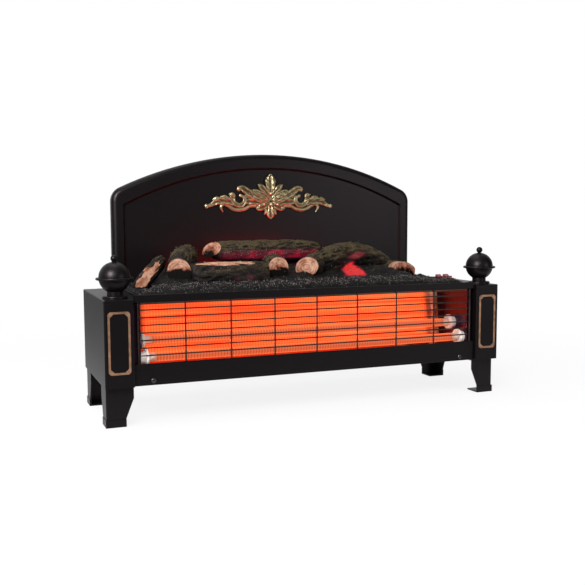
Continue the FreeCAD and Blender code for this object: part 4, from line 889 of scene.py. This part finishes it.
def coil_tree():
    """A wire wound in a helix along X."""
    tree, given, outlet = new_tree("wound_coil", (
        ("Turns", "Float"), ("Girth", "Float"), ("Length", "Float"), ("Wire", "Float"), ("Place", "Vector"),
    ))
    helix = add(tree, "GeometryNodeCurveSpiral", {
        "Resolution": COIL_STEPS, "Rotations": given["Turns"], "Start Radius": given["Girth"],
        "End Radius": given["Girth"], "Height": given["Length"],
    })
    section = add(tree, "GeometryNodeCurvePrimitiveCircle", {
        "Resolution": COIL_SIDES, "Radius": given["Wire"],
    })
    wire = add(tree, "GeometryNodeCurveToMesh", {"Curve": helix, "Profile Curve": section, "Fill Caps": True})
    laid = add(tree, "GeometryNodeTransform", {
        "Geometry": wire, "Translation": given["Place"], "Rotation": (0.0, pi / 2, 0.0),
    })
    finish_tree(tree, outlet, (laid,), COIL)
    return tree


def make_coils():
    """The two resistance coils in their tubes."""
    tree = coil_tree()
    for node, (back, up) in COIL_PLACES.items():
        mesh = grown(
            node + "_wire", tree, Turns=float(COIL_TURNS), Girth=COIL_GIRTH * MM,
            Length=2 * COIL_HALF * MM, Wire=COIL_WIRE * MM, Place=place(-COIL_HALF, back, up),
        )
        mesh.shade_smooth()
        keep(node + "_wire", mesh, "chassis", "resistance_wire", [COIL], node)


# Ash flakes on the bed and the logs

FLAKE_LENGTH = 2.8
FLAKE_WIDTH = 0.7
FLAKE_TIP = 0.1
FLAKE_LEAN = 0.75  # radians from upright
FLAKE_TURN = 6.28
FLAKE_SIZES = (0.45, 1.2)
FLAKE_SHADES = (0.25, 1.0)
FLAKE_CROWD = 160000.0  # flakes on a square metre of full ash
ASH_POWER = 2.2  # how fast they thin out with the ash
FLAKE_SEED, TILT_SEED, SIZE_SEED, SHADE_SEED = 9, 4, 5, 6


def flake_tree():
    """Pointed flakes strewn over a surface where its ash attribute is high."""
    tree, given, outlet = new_tree("ash_flakes", (
        ("Density", "Float"), ("Seed", "Int"), ("Length", "Float"), ("Width", "Float"), ("Lean", "Float"),
    ))
    ash = add(tree, "GeometryNodeInputNamedAttribute", {"Name": "ash"}, data_type="FLOAT")
    crowd = calc(tree, "MULTIPLY", calc(tree, "POWER", ash, ASH_POWER), given["Density"])
    strewn = add(tree, "GeometryNodeDistributePointsOnFaces", {
        "Mesh": given["Geometry"], "Density": crowd, "Seed": given["Seed"],
    })
    blade = add(tree, "GeometryNodeMeshCone", {
        "Vertices": 4, "Radius Top": FLAKE_TIP * MM, "Radius Bottom": given["Width"],
        "Depth": given["Length"],
    })
    along = add(tree, "ShaderNodeSeparateXYZ", {"Vector": add(tree, "GeometryNodeInputPosition")})
    tipped = add(tree, "GeometryNodeStoreNamedAttribute", {
        "Geometry": blade, "Name": "tip", "Value": calc(tree, "DIVIDE", along.outputs["Z"], given["Length"]),
    }, data_type="FLOAT", domain="POINT")
    lean_low = calc(tree, "MULTIPLY", given["Lean"], -1.0)
    low = add(tree, "ShaderNodeCombineXYZ", {"X": lean_low, "Y": lean_low, "Z": 0.0})
    high = add(tree, "ShaderNodeCombineXYZ", {"X": given["Lean"], "Y": given["Lean"], "Z": FLAKE_TURN})
    tilt = add(tree, "FunctionNodeRandomValue", {
        0: low, 1: high, "Seed": TILT_SEED,
    }, data_type="FLOAT_VECTOR")
    size, pale = (
        add(tree, "FunctionNodeRandomValue", {2: least, 3: most, "Seed": seed}, data_type="FLOAT").outputs[1]
        for (least, most), seed in ((FLAKE_SIZES, SIZE_SEED), (FLAKE_SHADES, SHADE_SEED))
    )
    set_out = add(tree, "GeometryNodeInstanceOnPoints", {
        "Points": strewn.outputs["Points"], "Instance": tipped, "Rotation": tilt, "Scale": size,
    })
    shaded = add(tree, "GeometryNodeStoreNamedAttribute", {
        "Geometry": set_out, "Name": "shade", "Value": pale,
    }, data_type="FLOAT", domain="INSTANCE")
    finish_tree(tree, outlet, (shaded,), FLAKE)
    return tree


def make_flakes(surfaces):
    """One mesh of flakes for the whole bed."""
    joined = bmesh.new()
    for surface in surfaces:
        joined.from_mesh(surface.data)
    mesh = grown(
        "ash_flakes", flake_tree(), settled(joined, "flake_ground"), Density=FLAKE_CROWD,
        Seed=FLAKE_SEED, Length=FLAKE_LENGTH * MM, Width=FLAKE_WIDTH * MM, Lean=FLAKE_LEAN,
    )
    keep("ash_flakes", mesh, "log_bed", "ember_resin", [FLAKE])


# Screw heads: pan heads with a cross recess

HEAD_GIRTH = 3.5
HEAD_RISE = 1.9
SHANK_GIRTH = 1.7
SHANK_REACH = 4.8
# The side that the heads face along Y, and the seats in mm
SCREW_SETS = {
    "apron_screws": (-1.0, [(x, 6.0, 63.5) for x in (-251.7, 251.7)]),
    "rear_screws": (1.0, [(x, 206.2, 153.0) for x in (-214.2, -75.6, 75.6, 214.2)]
                    + [(x, 191.2, z) for x in (-283.0, 283.0) for z in (75.0, 162.0)]),
}
SCREW_SIDES = 24
RECESS_ARM, RECESS_SLIM, RECESS_TAPER, RECESS_FLOOR = 0.52, 0.13, 0.75, 0.35  # shares of the head


def screw_mesh():
    """One screw along Z with its head's seat at zero."""
    build = bmesh.new()
    profile = (
        (SHANK_GIRTH * 0.6, -SHANK_REACH), (SHANK_GIRTH, -SHANK_REACH + 1.0), (SHANK_GIRTH, 0.0),
        (HEAD_GIRTH, 0.0), (HEAD_GIRTH, HEAD_RISE * 0.45), (HEAD_GIRTH * 0.93, HEAD_RISE * 0.75),
        (HEAD_GIRTH * 0.76, HEAD_RISE * 0.95), (HEAD_GIRTH * 0.62, HEAD_RISE),
    )
    rings = [
        [build.verts.new(Vector((cos(a), sin(a), 0.0)) * girth * MM + Vector((0.0, 0.0, up * MM)))
         for a in around(SCREW_SIDES)]
        for girth, up in profile
    ]
    skin(build, rings)
    build.faces.new(list(reversed(rings[0])))
    arm, slim = HEAD_GIRTH * RECESS_ARM, HEAD_GIRTH * RECESS_SLIM
    outline = []
    for angle in around(4):
        for px, py in ((arm, -slim), (arm, slim), (slim, slim)):
            outline.append((
                px * cos(angle) - py * sin(angle), px * sin(angle) + py * cos(angle),
            ))
    lip, floor = (
        [build.verts.new((share * x * MM, share * y * MM, HEAD_RISE * up * MM)) for x, y in outline]
        for share, up in ((1.0, 1.0), (RECESS_TAPER, RECESS_FLOOR))
    )
    skin(build, (lip, floor))
    build.faces.new(floor)
    rims = [
        build.edges.get((start, end))
        for ring in (rings[-1], lip) for start, end in zip(ring, ring[1:] + ring[:1])
    ]
    bmesh.ops.bridge_loops(build, edges=rims)
    bmesh.ops.recalc_face_normals(build, faces=build.faces)
    mesh = settled(build, "pan_head_screw")
    mesh.shade_smooth()
    mesh.set_sharp_from_angle(angle=radians(38))
    return mesh


def screw_tree():
    """A screw on each point, its head turned to the point's way."""
    tree, given, outlet = new_tree("set_screws", (("Screw", "Object"),))
    shape = add(tree, "GeometryNodeObjectInfo", {"Object": given["Screw"]})
    way = add(tree, "GeometryNodeInputNamedAttribute", {"Name": "way"}, data_type="FLOAT_VECTOR")
    aimed = add(tree, "FunctionNodeAlignRotationToVector", {"Vector": way}, axis="Z")
    driven = add(tree, "GeometryNodeInstanceOnPoints", {
        "Points": given["Geometry"], "Instance": shape.outputs["Geometry"], "Rotation": aimed,
    })
    finish_tree(tree, outlet, (driven,), SCREW)
    return tree


def make_screws():
    """The visible screws, one mesh for each frame node."""
    screw = bpy.data.objects.new("pan_head_screw", screw_mesh())
    tree = screw_tree()
    for node, (side, seats) in SCREW_SETS.items():
        points = bpy.data.meshes.new(node + "_seats")
        points.from_pydata([place(*seat) for seat in seats], [], [])
        aim = points.attributes.new("way", "FLOAT_VECTOR", "POINT")
        for mark in aim.data:
            mark.vector = (0.0, side, 0.0)
        mesh = grown(node + "_set", tree, points, Screw=screw)
        keep(node + "_set", mesh, "chassis", "dark_screw", [SCREW], node)
    bpy.data.objects.remove(screw)


# Ornament: acanthus fronds, scrolls and pearls

PANEL_BACK = 209.5
PANEL_GAP = 0.15  # mm between the panel and the back of the ornament
ORNAMENT_BACK, ORNAMENT_UP = PANEL_BACK - PANEL_GAP, 317.0
FROND_SIDES, FROND_STEP = 18, 1.1
FROND_START = 0.6  # share of the relief at a leaf's root
FROND_SWELL = 1.15  # lengths of a leaf's swell in the leaf, so that it ends before the tip
LEAST_WIDTH = 0.25  # half width in mm at the tips
SLIM_SHARE, SLIM_WIDTH = 0.35, 3.0  # relief of the slimmest leaf, and half width that adds a full share
LOBE_PITCH = 9.5  # mm between the slanting lobes of a leaf
LOBE_SLANT = 0.9  # turns by which a lobe runs on from the midrib to the edge
LOBE_HEIGHT, RIB_HEIGHT, LEAF_HEIGHT = 0.08, 0.05, 0.78  # shares of the relief
VEIN_DEPTH, VEIN_WIDTH = 0.4, 0.24  # of the sunk midrib, as shares of the relief and half width
BROAD_SPAN = (3.2, 5.5)  # half widths in mm over which a leaf gains its midrib and lobes
PEARL_STEPS, PEARL_SIDES = 6, 16
PEARL_RISE, INNER_RISE = 0.8, 1.9  # height of the outer and inner pearls as shares of their girth


def frond(build, layer, spine, relief, ribs):
    """A raised leaf along (x, z, half width) rows, sunk along its midrib and lobed on both sides."""
    path = smooth_path(spine, FROND_STEP)
    rows = []
    total = len(path) - 1
    for index, (x, z, width) in enumerate(path):
        before, after = path[max(index - 1, 0)], path[min(index + 1, total)]
        aim = Vector((after[0] - before[0], after[1] - before[1])).normalized()
        across = Vector((-aim.y, aim.x))
        swell = sin(pi * min(index / total * FROND_SWELL, 1.0))
        crown = relief * (FROND_START + (1.0 - FROND_START) * swell)
        broad = ramp(width, *BROAD_SPAN)
        width = max(width, LEAST_WIDTH)
        row = []
        for k in range(FROND_SIDES + 1):
            u = -1.0 + 2.0 * k / FROND_SIDES
            round_off = sqrt(max(1.0 - u * u, 0.0))
            rib = RIB_HEIGHT * cos(pi * ribs * u) * ramp(1.0 - abs(u), 0.0, 0.4)
            turn = index * FROND_STEP / LOBE_PITCH - LOBE_SLANT * abs(u)
            lobe = LOBE_HEIGHT * sin(2.0 * pi * turn) * ramp(abs(u), 0.1, 0.45) * round_off
            vein = VEIN_DEPTH * exp(-((u / VEIN_WIDTH) ** 2))
            share_up = max(LEAF_HEIGHT * round_off ** 0.5 + rib + broad * (lobe - vein), 0.0)
            lift = crown * share_up * min(1.0, SLIM_SHARE + width / SLIM_WIDTH)
            spot = Vector((x, z)) + across * (u * width)
            vert = build.verts.new(place(spot.x, ORNAMENT_BACK - lift, ORNAMENT_UP + spot.y))
            vert[layer] = share_up
            row.append(vert)
        rows.append(row)
    for near, far in zip(rows, rows[1:]):
        for k in range(FROND_SIDES):
            build.faces.new((near[k], near[k + 1], far[k + 1], far[k]))
        build.faces.new((near[0], far[0], far[FROND_SIDES], near[FROND_SIDES]))
    build.faces.new(list(reversed(rows[0])))
    build.faces.new(rows[-1])


def pearl(build, layer, x, z, girth, rise):
    """A half ball standing on the panel."""
    rings = []
    for j in range(PEARL_STEPS):
        tilt = pi / 2 * j / PEARL_STEPS
        reach = girth * cos(tilt)
        back = ORNAMENT_BACK - girth * rise * sin(tilt)
        ring = []
        for angle in around(PEARL_SIDES):
            up = ORNAMENT_UP + z + reach * sin(angle)
            ring.append(build.verts.new(place(x + reach * cos(angle), back, up)))
            ring[-1][layer] = 0.3 + 0.6 * sin(tilt)
        rings.append(ring)
    crown = build.verts.new(place(x, ORNAMENT_BACK - girth * rise, ORNAMENT_UP + z))
    crown[layer] = 0.9
    skin(build, rings)
    for k in range(PEARL_SIDES):
        build.faces.new((rings[-1][k], rings[-1][(k + 1) % PEARL_SIDES], crown))
    build.faces.new(list(reversed(rings[0])))


# Leaves as (x, z, half width) rows in mm from the ornament's middle, with their relief and ribs

MIDDLE_FRONDS = (
    (((0, 6, 5), (0, 18, 8), (0, 28, 9.4), (0, 35, 10.8), (0, 41, 7.6), (0, 47.3, 0.6)), 8.4, 5),
    (((0, -6, 4.4), (0, -14, 6.4), (0, -20.5, 8.4), (0, -26, 6.2), (0, -30, 0.6)), 7.4, 3),
)
SIDE_FRONDS = (
    (((2, 8, 4), (8, 16, 5.4), (14, 22.4, 5.8), (18.8, 26.4, 4.2), (22.8, 29, 0.8)), 8.0, 2),
    (((1, 2, 5), (11, 8.6, 7), (21, 14, 6.2), (27.4, 17.4, 4.2), (32, 19.6, 0.8)), 7.2, 3),
    (((2, -1, 6), (14, 5, 7.6), (26, 11, 6.6), (34, 15.6, 4.6), (40, 19, 0.8)), 7.0, 4),
    (((5, -3, 5), (20, 4, 6.5), (34, 11.4, 7.4), (43.6, 18, 6.8), (50.6, 22.4, 5.4), (57, 21.8, 3.6),
      (57.4, 18, 1.6)), 7.2, 3),
    (((52.6, 9.6, 2.6), (47.6, 7, 3.4), (46.2, 1, 4.4), (50.4, -5, 4.6), (57.4, -6.4, 4.4), (64.4, -2.6, 4.6),
      (68, 4, 5), (69, 11.6, 4)), 6.4, 3),
    (((64, 7, 2.6), (68, 11.4, 4.4), (74.4, 12.4, 1.4)), 6.4, 2),
    (((8, -4, 5), (24, -1, 6), (38, 0, 6), (48, -1, 3)), 6.2, 3),
    (((6, 2, 5), (20, 9, 7.5), (34, 11, 7), (46, 9, 2.6)), 6.6, 3),
    (((60, -5, 4.4), (74, 0.6, 7.4), (87, 1.4, 7), (97, -1, 5.6), (105, -5.4, 3.8), (112, -7.8, 2.4)),
     6.2, 3),
    (((74, 2, 4.4), (81, 6.2, 5.2), (89, 8.2, 1.2)), 5.8, 2),
    (((88, 1, 4), (95, 4.6, 4.4), (102.4, 3.4, 1.4)), 5.6, 2),
    (((82, -2, 3.2), (88, -7.6, 3.2), (87.4, -13, 2.2), (84.4, -17.4, 0.6)), 4.8, 2),
    (((26, -7, 3.4), (37, -7.4, 3.4), (45, -11.6, 3.4), (56, -14, 3.6), (66, -12.6, 3.4), (73, -8.4, 3.4),
      (82, -4.4, 2.4)), 5.4, 2),
    (((4, -5, 4.6), (12, -8.4, 6), (20, -10.6, 6), (26, -9, 3)), 7.0, 3),
    (((2, -12, 3.6), (7, -16.4, 4.2), (11, -22, 1.0)), 6.0, 2),
)
SIDE_PEARLS = ((56.6, 20.4, 3.8), (53.4, 9.8, 3.4), (113, -7.6, 4.2), (21.4, -10.6, 4.2))
INNER_PEARLS = ((0, 13.5, 4.4), (0, -4.6, 4.6), (-12.4, -4.8, 3.6), (12.4, -4.8, 3.6))


def make_ornament():
    """The cast ornament on the plate's panel."""
    build = bmesh.new()
    layer = build.verts.layers.float.new("rise")
    for leaf in MIDDLE_FRONDS:
        frond(build, layer, *leaf)
    for hand in (-1.0, 1.0):
        for spine, relief, ribs in SIDE_FRONDS:
            frond(build, layer, [(hand * x, z, width) for x, z, width in spine], relief, ribs)
        for x, z, girth in SIDE_PEARLS:
            pearl(build, layer, hand * x, z, girth, PEARL_RISE)
    for x, z, girth in INNER_PEARLS:
        pearl(build, layer, x, z, girth, INNER_RISE)
    bmesh.ops.recalc_face_normals(build, faces=build.faces)
    mesh = settled(build, "acanthus_ornament")
    mesh.shade_smooth()
    mesh.set_sharp_from_angle(angle=radians(60))
    keep("acanthus_ornament", mesh, "chassis", "antique_gold", [GOLD], "ornament")


# Hems folded round the toes of the feet

HEM_HEIGHT = 11.0
HEM_LENGTH = 28.0
HEM_PROUD = 0.9
HEM_BURIED = 0.6
HEM_EDGE = 0.4
FEET = ("foot_front_left", "foot_front_right", "foot_rear_left", "foot_rear_right")


def make_hems():
    """A band round the outer corner of each foot's toe."""
    build = bmesh.new()
    plan = (
        (-HEM_PROUD, -HEM_PROUD), (HEM_LENGTH, -HEM_PROUD), (HEM_LENGTH, HEM_BURIED),
        (HEM_BURIED, HEM_BURIED), (HEM_BURIED, HEM_LENGTH), (-HEM_PROUD, HEM_LENGTH),
    )
    for name in FEET:
        corners = [Vector(c) for c in bpy.data.objects[name].bound_box]
        pick_x, hand = (min, 1.0) if name.endswith("left") else (max, -1.0)
        pick_y, depth = (min, 1.0) if "front" in name else (max, -1.0)
        x, y = pick_x(c.x for c in corners), pick_y(c.y for c in corners)
        rings = [
            [build.verts.new((x + hand * a * MM, y + depth * b * MM, up * MM)) for a, b in plan]
            for up in (0.0, HEM_HEIGHT)
        ]
        skin(build, rings)
        build.faces.new(rings[0])
        build.faces.new(rings[1])
    bmesh.ops.recalc_face_normals(build, faces=build.faces)
    hems = keep("foot_hems", settled(build, "foot_hems"), "chassis", "black_enamel", [ENAMEL])
    edge = hems.modifiers.new("edge", "BEVEL")
    edge.width = HEM_EDGE * MM
    edge.segments = 2


make_guard()
make_coils()
make_screws()
make_ornament()
make_hems()
bed = make_bed()
logs = [make_log(name, *plan) for name, plan in LOGS.items()]
make_flakes([bed] + logs)


# Floor, world and lamps

STAGE = 6.0  # metres from the middle to the edges of the floor
FLAG_FRONT = -0.32  # front of the part that the dark cloth keeps off, in metres
FLAG_LEFT = -0.42  # left side that the grey cloth keeps off
FLAG_UP = 0.002  # height of the cloths over the floor
SHADOW_SPAN = (0.35, 1.1)  # metres over which the floor's shade goes out to white
SHADE = 0.84  # level of the floor under the fire
AMBIENT = 0.32  # level of the world for matt surfaces
# Place, aim and size in metres, power in watts, and whether a lamp shows in and lights surfaces
SOFTBOXES = {
    "key_softbox": ((-1.1, -1.7, 2.0), (0.0, 0.0, 0.2), 1.4, 46.0, False),
    "left_softbox": ((-2.2, -0.3, 0.9), (0.0, 0.0, 0.2), 1.4, 26.0, False),
    "top_softbox": ((-0.3, 0.3, 2.2), (0.0, 0.0, 0.2), 1.2, 12.0),
    "front_card": ((1.15, -1.7, 0.52), (0.15, 0.0, 0.25), 0.6, 8.0),
    "left_card": ((-1.15, -1.05, 0.92), (0.0, 0.0, 0.2), 0.5, 56.0, True, False),
    "sparkle_card": ((-0.7, -1.4, 1.1), (0.0, 0.1, 0.3), 0.22, 5.0),
}


def lay(name, look, left, right, near, far, up=0.0):
    """A flat sheet of the stage between two sides and two depths, in metres."""
    corners = [(left, near, up), (right, near, up), (right, far, up), (left, far, up)]
    mesh = bpy.data.meshes.new(name)
    mesh.from_pydata(corners, [], [(0, 1, 2, 3)])
    mesh.materials.append(look)
    sheet = shown(name, mesh)
    return sheet


def direct_rays(tree):
    """The light path, and 1 for rays that come straight from the camera or through glass."""
    path = add(tree, "ShaderNodeLightPath")
    return path, calc(tree, "MAXIMUM", path.outputs["Is Camera Ray"], path.outputs["Is Transmission Ray"])


def make_floor():
    """Pale floor, white to the eye, with a faint shadow; dark cloths that only shiny surfaces see."""
    made, tree, shader = material("pale_studio_floor", "#f4f4f4", 0.9)
    path, direct = direct_rays(tree)
    seen = calc(tree, "MAXIMUM", direct, path.outputs["Is Glossy Ray"])
    away = add(tree, "ShaderNodeVectorMath", {0: spot_in(tree)}, operation="LENGTH").outputs["Value"]
    fade = spread(tree, away, *SHADOW_SPAN, SHADE, 1.0, "SMOOTHSTEP")
    shine = add(tree, "ShaderNodeEmission", {"Color": srgb("#ffffff"), "Strength": 1.0})
    lit = add(tree, "ShaderNodeMixShader", {0: calc(tree, "MULTIPLY", seen, fade), 1: shader, 2: shine})
    feed(tree, tree.nodes["Material Output"], Surface=lit)
    lay("floor", made, -STAGE, STAGE, -STAGE, STAGE)
    black = material("black_cloth", "#080808", 1.0)[0]
    grey = material("grey_cloth", "#9a9a9a", 1.0)[0]
    flags = (
        lay("front_flag", black, -STAGE, STAGE, -STAGE, FLAG_FRONT, FLAG_UP),
        lay("left_flag", grey, -STAGE, FLAG_LEFT, FLAG_FRONT, STAGE, FLAG_UP),
    )
    for flag in flags:
        flag.visible_camera = flag.visible_diffuse = flag.visible_transmission = flag.visible_shadow = False


def make_world():
    """White to the camera; to shiny surfaces bright behind and above, dark from the front."""
    world = bpy.data.worlds.new("studio")
    world.use_nodes = True
    tree = world.node_tree
    tree.nodes.clear()
    path, direct = direct_rays(tree)
    aim = add(tree, "ShaderNodeSeparateXYZ", {"Vector": spot_in(tree, "Generated")})
    behind = spread(tree, aim.outputs["Y"], -0.1, 0.6, 0.01, 0.9, "SMOOTHSTEP")
    above = spread(tree, aim.outputs["Z"], 0.6, 1.0, 0.0, 0.5, "SMOOTHSTEP")
    mirror = calc(tree, "MAXIMUM", behind, above)
    indirect = add(tree, "ShaderNodeMix", {
        0: path.outputs["Is Glossy Ray"], 2: AMBIENT, 3: mirror,
    }, data_type="FLOAT")
    strength = add(tree, "ShaderNodeMix", {0: direct, 2: indirect, 3: 1.0}, data_type="FLOAT")
    back = add(tree, "ShaderNodeBackground", {"Color": srgb("#ffffff"), "Strength": strength})
    add(tree, "ShaderNodeOutputWorld", {"Surface": back})
    SCENE.world = world


def softbox(name, spot, target, size, power, shows=True, lights=True):
    """A square lamp aimed at a place, which may leave no mark in shiny surfaces, or only that mark."""
    lamp = bpy.data.lights.new(name, "AREA")
    lamp.size = size
    lamp.energy = power
    shape = shown(name, lamp)
    shape.location = spot
    shape.rotation_euler = (Vector(target) - Vector(spot)).to_track_quat("-Z", "Y").to_euler()
    shape.visible_glossy = shows
    shape.visible_diffuse = lights


make_floor()
make_world()
for lamp_name, plan in SOFTBOXES.items():
    softbox(lamp_name, *plan)
